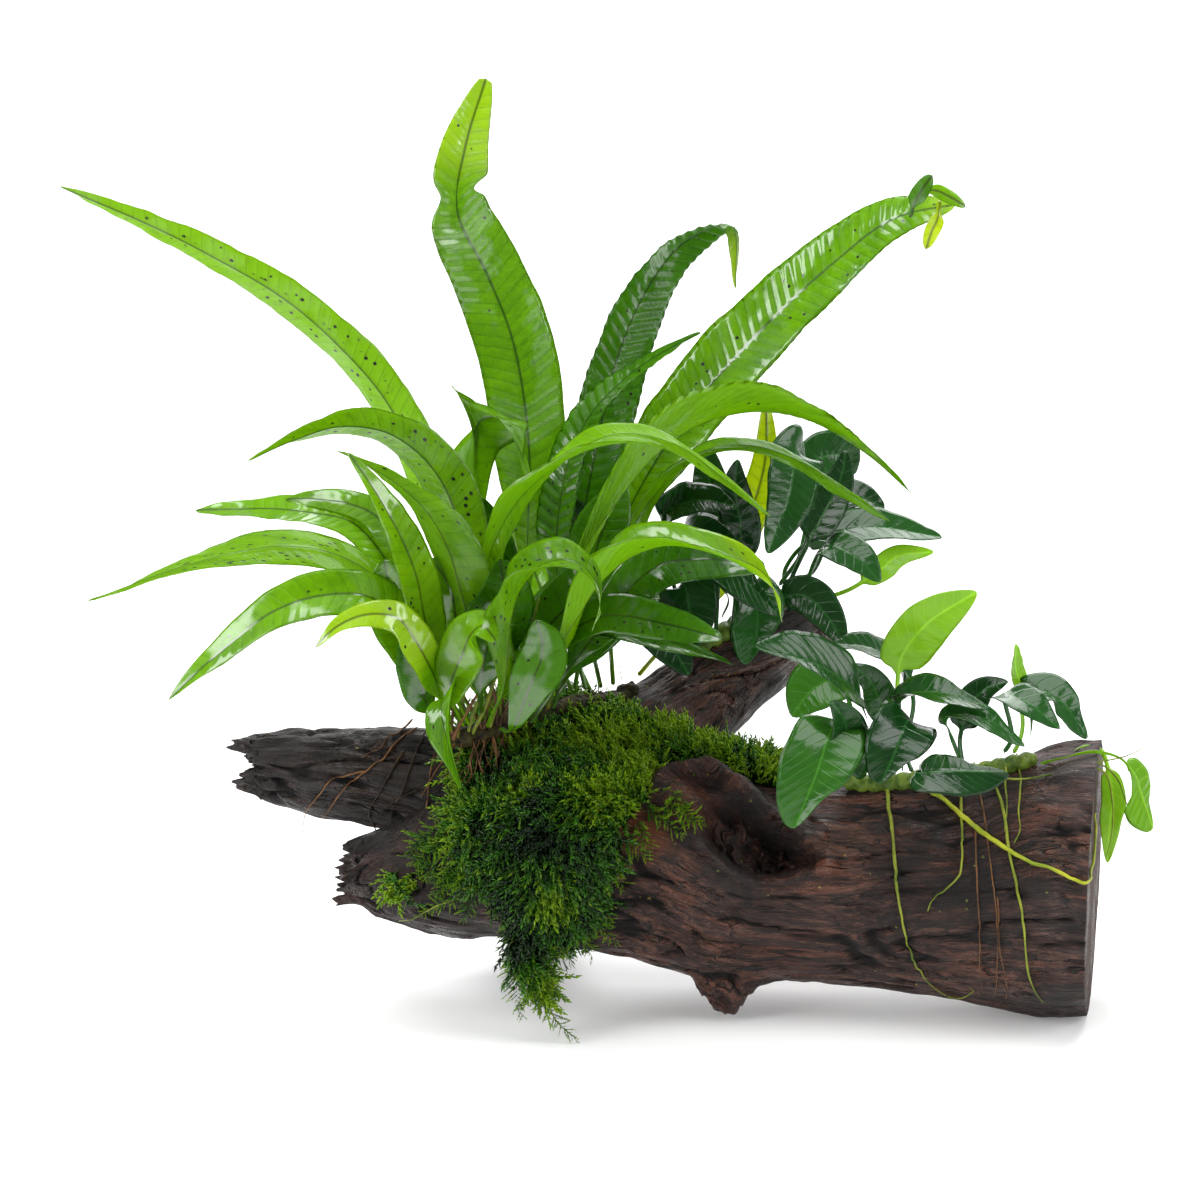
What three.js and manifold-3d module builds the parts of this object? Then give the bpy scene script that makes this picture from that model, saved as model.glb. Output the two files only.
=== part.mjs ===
// Java fern on driftwood: a sawn aquarium log planted with a java fern, two clumps of anubias and moss.
//
// Millimetres, +Z up. +X runs along the log to its sawn end, -Y is the front of the piece, and the
// origin is under the middle of the finished piece, on the surface that it rests on.

import * as THREE from 'three';
import { mergeVertices } from 'three/addons/utils/BufferGeometryUtils.js';
import Module from 'manifold-3d';

const wasm = await Module();
wasm.setup();

const { degToRad, lerp, smoothstep } = THREE.MathUtils;

// ---------------------------------------------------------------- driving dimensions

const GAP = 0.35; // clearance between pieces that touch
const SAW_ANGLE = degToRad(13); // the sawn face looks a little to the front
const MOSS_DEPTH = 11; // how far the moss stands off the wood
const FROND_THICKNESS = 1.1; // java fern blade at its midrib
const PAD_THICKNESS = 1.3; // anubias blade at its midrib
const STALK_RADIUS = 1.3;
const ROOT_RADIUS = 0.9;
const LEAF_ROWS = 10; // lengths that a leaf is divided into

// Wood: points on the axis, then half the depth and half the height of the section there.
const TRUNK = {
  axis: [
    [-134, 16, 66], [-118, 15, 64], [-98, 13, 63], [-74, 11, 68], [-48, 9, 78], [-20, 8, 82], [10, 6, 78],
    [42, 4, 70], [75, 3, 64], [110, 1, 62], [145, -1, 62], [180, -4, 62.5], [212, -6, 63.5],
      [238, -8, 66],
  ],
  girth: [
    [5, 6], [20, 17], [32, 27], [44, 38], [53, 49], [56, 55], [56, 55],
    [52, 51], [49, 48], [48, 47], [50, 49], [54, 54], [60, 60.5], [64, 65],
  ],
};
const LEFT_LIMB = {
  axis: [[-34, 14, 96], [-58, 14, 104], [-84, 14, 108], [-112, 17, 110], [-140, 19, 112],
    [-164, 21, 114], [-180, 22, 114]],
  girth: [[24, 26], [27, 28], [27, 27], [25, 24], [22, 20], [17, 15], [9, 8]],
};
const BACK_BRANCH = {
  axis: [[6, 20, 108], [30, 36, 126], [54, 54, 142], [78, 70, 156], [100, 84, 166], [117, 94, 173]],
  girth: [[32, 30], [30, 27], [25, 23], [20, 20], [16, 16], [10, 11]],
};
const BACK_ROOT = {
  axis: [[-18, 40, 60], [-24, 58, 40], [-29, 74, 22], [-32, 88, 4], [-33, 92, -8]],
  girth: [[22, 20], [19, 18], [16, 16], [15, 14], [14, 13]],
};
const FRONT_FOOT = { centre: [60, -16, 26], size: [14, 17, 32] };
const BURL = { x: 58, angle: degToRad(42), length: 26, sweep: degToRad(30), height: 13 };
const BURL_HOLLOW = { x: 80, angle: degToRad(56), length: 13, sweep: degToRad(16), height: -17 };

// Creeping stems: a route for the centre of each, and its radius.
const FERN_RHIZOME = {
  radius: 5.5,
  route: [[-74, -25, 139], [-56, -20, 141], [-34, -8, 145], [-12, 8, 147], [8, 26, 146], [22, 42, 150]],
};
const BACK_RHIZOME = { radius: 5, route: [[44, 50, 163], [66, 62, 174], [88, 76, 184], [104, 88, 188]] };
const RIGHT_RHIZOME = { radius: 4.5, route: [[116, -8, 114], [145, -12, 115], [176, -15, 120],
  [208, -14, 127]] };

// Java fern fronds. "at" is the place on the rhizome, "spine" the midrib above it, "upper" the way that
// the upper side looks at even steps from the foot of the blade to its tip.
const FRONDS = [
  { at: 0.62, width: 38, blunt: true, upper: [[0.15, -1, 0.1], [0.2, -1, 0.2]],
    spine: [[-35, 34, 194], [-34, 44, 252], [-41, 47, 315], [-61, 42, 368], [-70, 36, 391],
      [-63, 42, 415], [-54, 46, 444]] },
  { at: 0.54, width: 27, upper: [[0.5, 0.8, 0.3], [0.2, 0.8, 0.6]],
    spine: [[-70, 28, 205], [-94, 36, 277], [-136, 32, 330], [-193, 20, 368], [-250, 5, 396]] },
  { at: 0.8, width: 39, blunt: true, upper: [[-0.5, -0.85, 0.2], [-0.3, -0.8, 0.6]],
    spine: [[6, 45, 212], [39, 56, 277], [78, 56, 323], [120, 46, 363], [153, 36, 385], [168, 28, 386]] },
  { at: 0.74, width: 35, upper: [[0.3, -1, 0.1], [0.9, -0.4, 0.3]],
    spine: [[-10, 48, 206], [-1, 60, 269], [15, 66, 327], [39, 60, 364], [59, 52, 377],
      [67, 45, 363], [65, 42, 345]] },
  { at: 0.5, width: 31, upper: [[-0.4, 0.85, 0.3], [-0.4, 0.85, 0.35], [-0.1, 0.3, 0.95],
    [0.3, -0.75, 0.6], [0.3, -0.8, 0.5]],
    spine: [[-18, -12, 204], [6, -16, 250], [33, -8, 279], [66, 10, 290], [109, 20, 281],
      [147, 15, 252]] },
  { at: 0.3, width: 30, upper: [[-0.35, 0.85, 0.35], [-0.4, 0.85, 0.4], [0.1, -0.1, 1],
    [0.3, -0.8, 0.5], [0.3, -0.8, 0.5]],
    spine: [[-56, -38, 205], [-39, -46, 255], [0, -50, 286], [31, -58, 286], [76, -62, 254]] },
  { at: 0.38, width: 29, upper: [[0.4, 0.85, 0.3], [0.4, 0.85, 0.4], [0.2, 0.75, 0.6], [-0.2, 0.35, 0.9]],
    spine: [[-61, -8, 208], [-71, -12, 256], [-93, -16, 282], [-122, -22, 288], [-162, -30, 273]] },
  { at: 0.24, width: 32, upper: [[0.5, 0.8, 0.3], [0.3, 0.7, 0.7]],
    spine: [[-61, -40, 205], [-73, -46, 246], [-93, -48, 269], [-118, -46, 282]] },
  { at: 0.14, width: 24, upper: [[0.6, -0.7, 0.3], [0.5, -0.6, 0.6]],
    spine: [[-78, -55, 194], [-85, -63, 231], [-99, -64, 261], [-114, -60, 282]] },
  { at: 0.27, width: 25, upper: [[0.6, -0.4, 0.7], [0.1, -0.65, 0.8]],
    spine: [[-91, -20, 206], [-111, -14, 238], [-146, 0, 244], [-194, 20, 241]] },
  { at: 0.18, width: 25, upper: [[0.6, -0.5, 0.6], [-0.2, -0.6, 0.8]],
    spine: [[-86, -36, 199], [-110, -36, 225], [-143, -30, 233], [-186, -26, 225], [-239, -20, 205]] },
  { at: 0.11, width: 23, upper: [[0.6, -0.6, 0.6], [-0.5, -0.7, 0.5]],
    spine: [[-82, -60, 195], [-99, -66, 215], [-135, -70, 215], [-167, -74, 194], [-193, -78, 170]] },
  { at: 0.42, width: 34, upper: [[0.1, 0.9, 0.3], [0.1, 0.9, 0.3], [0.1, 0.2, 1],
    [0.2, -0.85, 0.5], [0.2, -0.85, 0.4]],
    spine: [[-58, 6, 207], [-60, 12, 254], [-56, 8, 290], [-42, -12, 284], [-31, -24, 260]] },
  { at: 0.21, width: 33, upper: [[-0.3, 0.9, 0.2], [-0.3, 0.85, 0.4], [0.1, -0.4, 0.95],
    [0.2, -0.9, 0.5], [0.2, -0.95, 0.2]],
    spine: [[-43, -62, 177], [-40, -72, 207], [-30, -80, 231], [-12, -90, 238], [0, -98, 226],
      [-3, -100, 209]] },
  { at: 0.34, width: 31, upper: [[-0.5, 0.8, 0.3], [-0.5, 0.8, 0.4], [0.1, -0.2, 1],
    [0.4, -0.75, 0.6], [0.5, -0.7, 0.5]],
    spine: [[-18, -52, 191], [1, -66, 225], [25, -74, 242], [53, -80, 240], [74, -84, 230],
      [81, -86, 210]] },
  { at: 0.45, width: 22, upper: [[-0.3, -0.5, 0.8], [0.1, -0.6, 0.8]],
    spine: [[-28, -30, 179], [-5, -42, 194], [23, -50, 192], [61, -60, 180]] },
  { at: 0.66, width: 25, upper: [[-0.5, -0.7, 0.3], [-0.5, -0.3, 0.8]],
    spine: [[-21, 28, 215], [-9, 36, 277], [15, 42, 304], [49, 50, 323]] },
  { at: 0.86, width: 26, upper: [[-0.4, 0.85, 0.4], [0, 0.4, 0.9], [0.3, -0.7, 0.7], [0.3, -0.7, 0.6]],
    spine: [[5, 30, 200], [24, 25, 245], [52, 20, 270], [85, 14, 270], [137, 5, 239]] },
  { at: 0.7, width: 28, upper: [[0, -1, 0], [0, -1, -0.2]],
    spine: [[-34, 66, 208], [-36, 72, 262], [-39, 66, 289]] },
  { at: 0.04, width: 18, upper: [[0.5, -0.7, 0.5], [-0.3, -0.8, 0.5]],
    spine: [[-79, -72, 189], [-92, -86, 212], [-111, -92, 212], [-126, -95, 200]] },
  { at: 0.01, width: 18, upper: [[-0.2, -0.8, 0.6], [-0.2, -1, 0.1]],
    spine: [[-72, -66, 172], [-75, -84, 172], [-72, -90, 156], [-68, -90, 139]] },
  { at: 0.95, width: 19, upper: [[-0.3, -1, 0.1], [0.1, -1, 0.2]],
    spine: [[50, 66, 187], [72, 68, 225], [81, 68, 253], [82, 66, 275], [81, 60, 292]] },
  { at: 0.26, width: 24, upper: [[0.2, -1, 0.2], [0.2, -0.9, -0.2]],
    spine: [[-40, -50, 152], [-33, -54, 172], [-26, -56, 192], [-29, -56, 206]] },
];

// Anubias leaves: the third point of a spine is where the stalk meets the blade.
const BACK_PADS = [
  { at: 0.3, width: 30, upper: [-0.2, -0.6, 0.75],
    spine: [[67, 65, 182], [50, 60, 208], [42, 50, 226], [61, 32, 215], [85, 18, 193]] },
  { at: 0.45, width: 29, upper: [0, -0.85, 0.5],
    spine: [[75, 52, 180], [69, 35, 191], [73, 25, 201], [76, 15, 186], [71, 12, 167]] },
  { at: 0.75, width: 28, upper: [0.2, -0.95, 0.1],
    spine: [[96, 85, 196], [110, 88, 224], [105, 75, 266], [101, 56, 245], [93, 46, 221]] },
  { at: 0.85, width: 28, upper: [0, -0.45, 0.9],
    spine: [[92, 86, 192], [98, 84, 206], [108, 80, 214], [134, 70, 221], [172, 60, 216]] },
  { at: 1, width: 24, upper: [0, -0.6, 0.8],
    spine: [[110, 98, 196], [115, 100, 211], [114, 98, 225], [129, 92, 233], [145, 85, 227]] },
  { at: 0.95, width: 22, upper: [0.3, -0.7, 0.6],
    spine: [[104, 76, 194], [108, 75, 206], [113, 65, 215], [127, 55, 210], [138, 48, 200]] },
  { at: 0.1, width: 24, upper: [0, -0.6, 0.8],
    spine: [[42, 55, 182], [33, 45, 212], [31, 38, 235], [48, 30, 244], [66, 28, 241]] },
  { at: 0.9, width: 26, upper: [0, -0.9, 0.3],
    spine: [[100, 104, 195], [107, 120, 218], [111, 125, 247], [123, 130, 250], [133, 135, 240]] },
  { at: 0, width: 30, upper: [0, -0.8, 0.4],
    spine: [[40, 50, 176], [38, 46, 190], [41, 42, 201], [44, 34, 188], [49, 30, 172]] },
];
const RIGHT_PADS = [
  { at: 0.1, width: 39, upper: [0.1, -0.9, 0.4],
    spine: [[124, -26, 128], [120, -40, 148], [108, -52, 152], [99, -66, 134], [89, -72, 110]] },
  { at: 0.2, width: 30, upper: [-0.2, -0.6, 0.8],
    spine: [[132, -16, 130], [126, -22, 148], [119, -30, 164], [100, -40, 179], [72, -50, 189]] },
  { at: 0, width: 28, upper: [-0.1, -0.8, 0.5],
    spine: [[122, 4, 128], [121, 12, 146], [115, 10, 160], [102, 5, 156], [92, 0, 144]] },
  { at: 0.38, width: 25, upper: [-0.1, -0.4, 0.9],
    spine: [[148, 8, 126], [153, 24, 145], [149, 30, 159], [131, 22, 173], [112, 15, 176]] },
  { at: 0.28, width: 26, upper: [0.3, -0.85, 0.3],
    spine: [[141, 0, 128], [143, 3, 147], [143, 0, 171], [154, -5, 190], [178, -8, 207]] },
  { at: 0.33, width: 25, upper: [0, -0.4, 0.9],
    spine: [[144, -18, 130], [143, -22, 145], [141, -25, 159], [158, -38, 165], [179, -48, 161]] },
  { at: 0.42, width: 33, upper: [0.1, -0.9, 0.4],
    spine: [[150, -32, 128], [148, -42, 144], [143, -45, 153], [136, -58, 143], [129, -64, 129]] },
  { at: 0.5, width: 23, upper: [0, -0.7, 0.7],
    spine: [[156, -34, 126], [148, -54, 134], [141, -64, 136], [157, -72, 140], [177, -74, 141]] },
  { at: 0.95, width: 24, upper: [0.2, -0.6, 0.7],
    spine: [[206, -4, 136], [208, 8, 146], [207, 12, 155], [221, 5, 151], [233, -8, 136]] },
  { at: 0.85, width: 20, upper: [0.1, -0.6, 0.8],
    spine: [[196, -12, 136], [194, -12, 148], [191, -15, 159], [201, -28, 157], [215, -35, 147]] },
  { at: 0.6, width: 18, upper: [0, -0.5, 0.85],
    spine: [[170, -26, 128], [164, -34, 144], [161, -38, 153], [178, -48, 155], [196, -52, 144]] },
  { at: 0.9, width: 12, upper: [0.7, -0.7, 0],
    spine: [[203, 0, 136], [204, 10, 145], [204, 14, 154], [201, 13, 165], [201, 12, 176]] },
  { at: 1, width: 15, upper: [0.4, -0.8, 0.5],
    spine: [[236, -20, 132], [250, -22, 127], [254, -20, 120], [258, -20, 108], [263, -22, 95]] },
];

// Long roots of the right clump, as places on the trunk: distance along it, degrees down its front.
// One of them crosses over another, so it stands further off the wood.
const ROOTS = [
  { lift: 0, route: [[142, 28], [136, 45], [137, 62], [138, 85], [142, 110], [152, 135], [166, 158]] },
  { lift: 2.6, route: [[150, 32], [158, 48], [178, 62], [198, 74], [216, 80], [228, 84]] },
  { lift: 0, route: [[190, 20], [188, 40], [192, 62], [195, 90], [200, 118], [208, 140], [214, 158]] },
];

// Moss on the trunk: the four corners of each patch, as distance along the log and degrees round it,
// with a crown where it swells over the fork.
const FORK_CROWN = { x: -46, angle: degToRad(5), length: 28, sweep: degToRad(48), height: 13 };
const MOSS = [
  ['moss_top', [[-66, -60], [92, -45], [92, 10], [-66, 44]]],
  ['moss_drape', [[-84, 49.4], [26, 25.7], [-8, 150], [-48, 150]]],
  ['moss_left_tuft', [[-108, 60], [-84, 60], [-60, 128], [-92, 128]]],
];
const MOSS_STRAND = { radius: 8, route: [[-36, -50, 66], [-34, -52, 48], [-28, -54, 27],
  [-20, -55, 11], [-11, -56, 2]] };

// ---------------------------------------------------------------- solids

/** A closed three.js geometry as a solid that can be joined and cut. */
function solidOf(geometry) {
  const bare = geometry.clone();
  bare.deleteAttribute('normal');
  bare.deleteAttribute('uv');
  const merged = mergeVertices(bare, 1e-4);
  return new wasm.Manifold(new wasm.Mesh({
    numProp: 3,
    vertProperties: new Float32Array(merged.attributes.position.array),
    triVerts: new Uint32Array(merged.index.array),
  }));
}

/** The geometry of a solid. */
function geometryOf(solid) {
  const { vertProperties, triVerts } = solid.getMesh();
  const geometry = new THREE.BufferGeometry();
  geometry.setAttribute('position', new THREE.BufferAttribute(vertProperties, 3));
  geometry.setIndex(new THREE.BufferAttribute(triVerts, 1));
  return geometry;
}

/** Move every corner of a geometry to where place(corner) puts it. */
function bend(geometry, place) {
  const bare = geometry.clone();
  bare.deleteAttribute('normal');
  bare.deleteAttribute('uv');
  const bent = mergeVertices(bare, 1e-5);
  const corners = bent.attributes.position;
  const corner = new THREE.Vector3();
  for (let i = 0; i < corners.count; i += 1) {
    corner.fromBufferAttribute(corners, i);
    const { x, y, z } = place(corner);
    corners.setXYZ(i, x, y, z);
  }
  return bent;
}

const vectors = (points) => points.map((p) => new THREE.Vector3(...p));

/** True where the boxes of two solids meet. */
function near(a, b) {
  const p = a.boundingBox();
  const q = b.boundingBox();
  return [0, 1, 2].every((i) => p.min[i] <= q.max[i] && q.min[i] <= p.max[i]);
}

/** Cut a solid clear of every solid of a list that it meets. */
function cutClear(solid, others) {
  return others.filter((other) => near(solid, other)).reduce((left, other) => left.subtract(other), solid);
}

/** A round tube along a smooth route. */
function tube(route, radius, sides, steps) {
  const section = new THREE.Shape();
  for (let i = 0; i < sides; i += 1) {
    const angle = (2 * Math.PI * i) / sides;
    section[i ? 'lineTo' : 'moveTo'](radius * Math.cos(angle), radius * Math.sin(angle));
  }
  const path = new THREE.CatmullRomCurve3(vectors(route));
  return solidOf(new THREE.ExtrudeGeometry(section, { steps, bevelEnabled: false, extrudePath: path }));
}

// ---------------------------------------------------------------- wood

const UP = new THREE.Vector3(0, 0, 1);

/** A bump or hollow on the trunk: a rounded hill in x and in the angle round the log. */
function hill(shape, x, angle) {
  const along = (x - shape.x) / shape.length;
  const round = (angle - shape.angle) / shape.sweep;
  return shape.height * Math.exp(-(along ** 2) - round ** 2);
}

/** The surface of a piece of wood: u runs from its first end to its last, angle from the top round. */
class WoodSurface {
  constructor({ axis, girth }, { saw = 0, burled = false } = {}) {
    this.axis = new THREE.CatmullRomCurve3(vectors(axis));
    this.girth = new THREE.CatmullRomCurve3(girth.map(([depth, height]) => new THREE.Vector3(depth, height, 0)));
    this.saw = saw;
    this.burled = burled;
  }

  point(u, angle, lift = 0) {
    const centre = this.axis.getPoint(u);
    const half = this.girth.getPoint(u);
    const side = this.axis.getTangent(u).cross(UP).normalize();
    const up = new THREE.Vector3().crossVectors(side, this.axis.getTangent(u));
    const ripple = 1 + 0.045 * Math.sin(2 * angle - 4 * u) + 0.035 * Math.sin(5 * angle - 8 * u)
      + 0.02 * Math.sin(8 * angle + 23 * u);
    const bump = this.burled ? hill(BURL, centre.x, angle) + hill(BURL_HOLLOW, centre.x, angle) : 0;
    const out = side.multiplyScalar(half.x * Math.sin(angle)).addScaledVector(up, half.y * Math.cos(angle));
    const radius = out.length();
    const place = centre.clone().addScaledVector(out, (radius * ripple + bump + lift) / radius);
    place.x += this.saw * smoothstep(u, 0.8, 1) * (place.y - centre.y) * Math.tan(SAW_ANGLE);
    return place;
  }

  /** The u of a place along X. */
  along(x) {
    let low = 0;
    let high = 1;
    for (let i = 0; i < 24; i += 1) {
      const middle = (low + high) / 2;
      if (this.axis.getPoint(middle).x < x) low = middle;
      else high = middle;
    }
    return low;
  }

  solid(around, rings, lift = 0) {
    const place = ({ x, y, z }) => {
      const u = y + 0.5;
      if (Math.hypot(x, z) < 0.5) return this.point(u, 0).lerp(this.point(u, Math.PI), 0.5);
      return this.point(u, Math.atan2(x, z), lift);
    };
    return solidOf(bend(new THREE.CylinderGeometry(1, 1, 1, around, rings), place));
  }
}

const trunkSurface = new WoodSurface(TRUNK, { saw: 1, burled: true });
const limbSurface = new WoodSurface(LEFT_LIMB);
const branchSurface = new WoodSurface(BACK_BRANCH);
const rootSurface = new WoodSurface(BACK_ROOT);

/** The trunk with its front foot, all of it stood off its own surface by lift. */
function trunkBody(lift) {
  const ball = new THREE.SphereGeometry(1, 10, 8).rotateX(Math.PI / 2);
  const [a, b, c] = FRONT_FOOT.size;
  ball.scale(a + lift, b + lift, c + lift).translate(...FRONT_FOOT.centre);
  return trunkSurface.solid(22, 30, lift).add(solidOf(ball));
}

/** The surface that the piece rests on, as a block under Z = 0. */
const tableTop = solidOf(new THREE.BoxGeometry(900, 900, 60).translate(0, 0, -30));

const trunk = trunkBody(0).subtract(tableTop);
const trunkClear = trunkBody(GAP);
const limb = limbSurface.solid(16, 12).subtract(trunkClear);
const branch = branchSurface.solid(16, 10).subtract(trunkClear).subtract(limbSurface.solid(16, 12, GAP));
const backRoot = rootSurface.solid(12, 7).subtract(trunkClear).subtract(tableTop);
const woodClear = [trunkClear, limbSurface.solid(16, 12, GAP), branchSurface.solid(16, 10, GAP)];

/** The largest separate body of a solid, so that a cut leaves no loose crumbs. */
function largest(solid) {
  return solid.decompose().reduce((best, piece) => (piece.volume() > best.volume() ? piece : best));
}

// ---------------------------------------------------------------- leaves

/** Width of a leaf, from 0 to 1, at s from the foot of the blade to its tip. */
function outline(s, rise, fall) {
  const peak = rise / (rise + fall);
  return (s ** rise * (1 - s) ** fall) / (peak ** rise * (1 - peak) ** fall);
}

const FROND_SHAPE = { rise: 0.55, fall: 0.85, thickness: FROND_THICKNESS, fold: 0.18, lobe: 0 };
const BLUNT_FROND_SHAPE = { ...FROND_SHAPE, rise: 0.5, fall: 0.45 };
const PAD_SHAPE = { rise: 0.3, fall: 0.75, thickness: PAD_THICKNESS, fold: 0.2, lobe: 0.16 };

/** The share of a path's length that is behind its control point of that index. */
function shareAt(path, index) {
  const pieces = 60;
  const lengths = path.getLengths(pieces * (path.points.length - 1));
  return lengths[index * pieces] / lengths[lengths.length - 1];
}

/** A four-sided tube whose upper and lower faces are split on the same diagonals, so that it can be thin. */
function leafTube(rows) {
  const body = new THREE.CylinderGeometry(1, 1, 1, 4, rows);
  for (let quad = rows; quad < 3 * rows; quad += 1) {
    const [a, b, d, , c] = body.index.array.slice(6 * quad, 6 * quad + 6);
    body.index.array.set([a, b, c, a, c, d], 6 * quad);
  }
  return body;
}

/** The way that the upper side of a blade looks at s, between evenly spaced ways. */
function upperAt(ways, s) {
  const place = s * (ways.length - 1);
  const i = Math.min(Math.floor(place), ways.length - 2);
  return new THREE.Vector3(...ways[i]).lerp(new THREE.Vector3(...ways[i + 1]), place - i);
}

/** One leaf, blade and stalk in one: a folded four-sided loft along its spine, swollen by extra. */
function leafSolid(spine, leaf, shape, extra = 0) {
  const path = new THREE.CatmullRomCurve3(spine);
  const collar = leaf.collar ? shareAt(path, leaf.collar) : 0.16;
  const stalkRows = leaf.collar ? 4 : 2;
  const rows = LEAF_ROWS;
  const place = ({ x, y, z }) => {
    const row = Math.round((y + 0.5) * rows);
    const s = Math.max(0, (row - stalkRows) / (rows - stalkRows));
    const share = row < stalkRows ? (collar * row) / stalkRows : collar + (1 - collar) * s;
    const tangent = path.getTangentAt(share);
    const upper = upperAt(leaf.upper, s);
    const across = new THREE.Vector3().crossVectors(tangent, upper).normalize();
    const up = new THREE.Vector3().crossVectors(across, tangent);
    const wide = (leaf.width / 2) * outline(s * 0.985 + 0.005, shape.rise, shape.fall);
    const half = Math.max(STALK_RADIUS * (1 - 0.5 * s), wide);
    const stalk = row < stalkRows;
    const width = (stalk ? STALK_RADIUS : half) + extra;
    const height = (stalk ? STALK_RADIUS * 0.8 : shape.thickness * 0.5 * (1 - 0.4 * s)) + extra;
    const lobe = stalk ? 0 : shape.lobe * leaf.width * Math.max(0, 1 - s * 3) * Math.abs(x);
    return path.getPointAt(share)
      .addScaledVector(across, x * width)
      .addScaledVector(up, z * height + Math.abs(x) * (stalk ? 0 : shape.fold * half))
      .addScaledVector(tangent, -lobe);
  };
  return solidOf(bend(leafTube(rows), place));
}

/** A spine whose leaf leans by (dx, dy) at its tip and not at all at its foot. */
function leaning(spine, dx, dy) {
  const path = new THREE.CatmullRomCurve3(spine);
  return spine.map((point, i) => {
    const share = shareAt(path, i);
    return new THREE.Vector3(point.x + dx * share, point.y + dy * share, point.z);
  });
}

/** Leans to try, smallest first: mostly back and forward, as crowded leaves slip past each other. */
const LEANS = [[0, 0]];
for (let reach = 3; reach <= 45; reach += 3) {
  for (let turn = 0; turn < 8; turn += 1) {
    const angle = (turn * Math.PI) / 4;
    LEANS.push([0.4 * reach * Math.sin(angle), reach * Math.cos(angle)]);
  }
}

/** Place a leaf on its stem and lean it until it is clear of everything in its way. */
function settle(leaf, shape, stem, obstacles) {
  const path = new THREE.CatmullRomCurve3(vectors(stem.route));
  const seat = path.getPoint(leaf.at);
  const first = new THREE.Vector3(...leaf.spine[0]);
  const outward = first.clone().sub(seat);
  outward.addScaledVector(path.getTangent(leaf.at), -outward.dot(path.getTangent(leaf.at))).normalize();
  const foot = seat.addScaledVector(outward, stem.radius + STALK_RADIUS + GAP);
  const spine = [foot, ...vectors(leaf.spine)];
  let best = spine;
  let least = Infinity;
  for (const [dx, dy] of LEANS) {
    const leant = leaning(spine, dx, dy);
    const swollen = leafSolid(leant, leaf, shape, 0.6);
    const overlap = obstacles.filter((other) => near(swollen, other))
      .reduce((sum, other) => sum + Math.abs(swollen.intersect(other).volume()), 0);
    if (overlap < least) {
      best = leant;
      least = overlap;
    }
    if (overlap < 1e-3) break;
  }
  return best;
}

// ---------------------------------------------------------------- the piece

const group = new THREE.Group();
group.name = 'java_fern_on_driftwood';

/** Add a solid as a named mesh. */
function add(name, solid, color, roughness) {
  const material = new THREE.MeshStandardMaterial({ color, roughness, metalness: 0 });
  material.name = name;
  const mesh = new THREE.Mesh(geometryOf(solid), material);
  mesh.name = name;
  group.add(mesh);
}

add('driftwood_trunk', trunk, 0x3a211a, 0.45);
add('driftwood_left_limb', largest(limb), 0x33201b, 0.5);
add('driftwood_back_branch', largest(branch), 0x3d231c, 0.5);
add('driftwood_back_root', largest(backRoot), 0x2f1c17, 0.5);

const stems = [
  ['fern_rhizome', FERN_RHIZOME, 0x4d4a22],
  ['anubias_back_rhizome', BACK_RHIZOME, 0x5c6a2c],
  ['anubias_right_rhizome', RIGHT_RHIZOME, 0x6b7a30],
];
const grown = []; // everything that the moss has to grow round, a gap larger than it is
for (const [name, stem, color] of stems) {
  add(name, largest(cutClear(tube(stem.route, stem.radius, 8, 10), woodClear)), color, 0.5);
  grown.push(tube(stem.route, stem.radius + GAP, 8, 10));
}

/** A root that clings to the trunk. */
function root({ lift, route }) {
  const places = route.map(([x, degrees]) => {
    const place = trunkSurface.point(trunkSurface.along(x), degToRad(degrees), ROOT_RADIUS + 1 + lift);
    return place.toArray();
  });
  return [0, GAP].map((swell) => tube(places, ROOT_RADIUS + swell, 5, 16));
}

ROOTS.forEach((entry, i) => {
  const [body, clear] = root(entry);
  add(`anubias_root_${i + 1}`, largest(cutClear(body, woodClear)), 0x9aa046, 0.5);
  grown.push(clear);
});

const obstacles = [...woodClear, ...grown];
const clumps = [
  ['fern_leaf', FERN_RHIZOME, FRONDS, 0x6fae1c],
  ['anubias_back_leaf', BACK_RHIZOME, BACK_PADS, 0x1d4a24],
  ['anubias_right_leaf', RIGHT_RHIZOME, RIGHT_PADS, 0x2c6a22],
];
for (const [name, stem, leaves, color] of clumps) {
  const pads = leaves !== FRONDS;
  leaves.forEach((entry, i) => {
    const upper = pads ? [entry.upper, entry.upper] : entry.upper;
    const leaf = { ...entry, upper, collar: pads ? 3 : 0 };
    const bluntOr = entry.blunt ? BLUNT_FROND_SHAPE : FROND_SHAPE;
    const shape = pads ? PAD_SHAPE : bluntOr;
    const spine = settle(leaf, shape, stem, obstacles);
    obstacles.push(leafSolid(spine, leaf, shape));
    grown.push(leafSolid(spine, leaf, shape, GAP));
    add(`${name}_${String(i + 1).padStart(2, '0')}`, obstacles.at(-1), color, 0.3);
  });
}

// ---------------------------------------------------------------- moss

/** A pillow of moss over the trunk between four corners. */
function mossPatch(corners) {
  const place = ({ x, y, z }) => {
    const s = x + 0.5;
    const t = z + 0.5;
    const [along, degrees] = [0, 1].map((i) => lerp(
      lerp(corners[0][i], corners[1][i], s),
      lerp(corners[3][i], corners[2][i], s),
      t,
    ));
    const angle = degToRad(degrees);
    const pillow = (1 - (2 * s - 1) ** 4) * (1 - (2 * t - 1) ** 4);
    const uneven = 0.8 + 0.2 * Math.sin(0.11 * along + 3 * angle);
    const outer = 1 + (MOSS_DEPTH * uneven + hill(FORK_CROWN, along, angle)) * pillow;
    return trunkSurface.point(trunkSurface.along(along), angle, y > 0 ? outer : -1.5);
  };
  return solidOf(bend(new THREE.BoxGeometry(1, 1, 1, 9, 1, 6), place));
}

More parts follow.
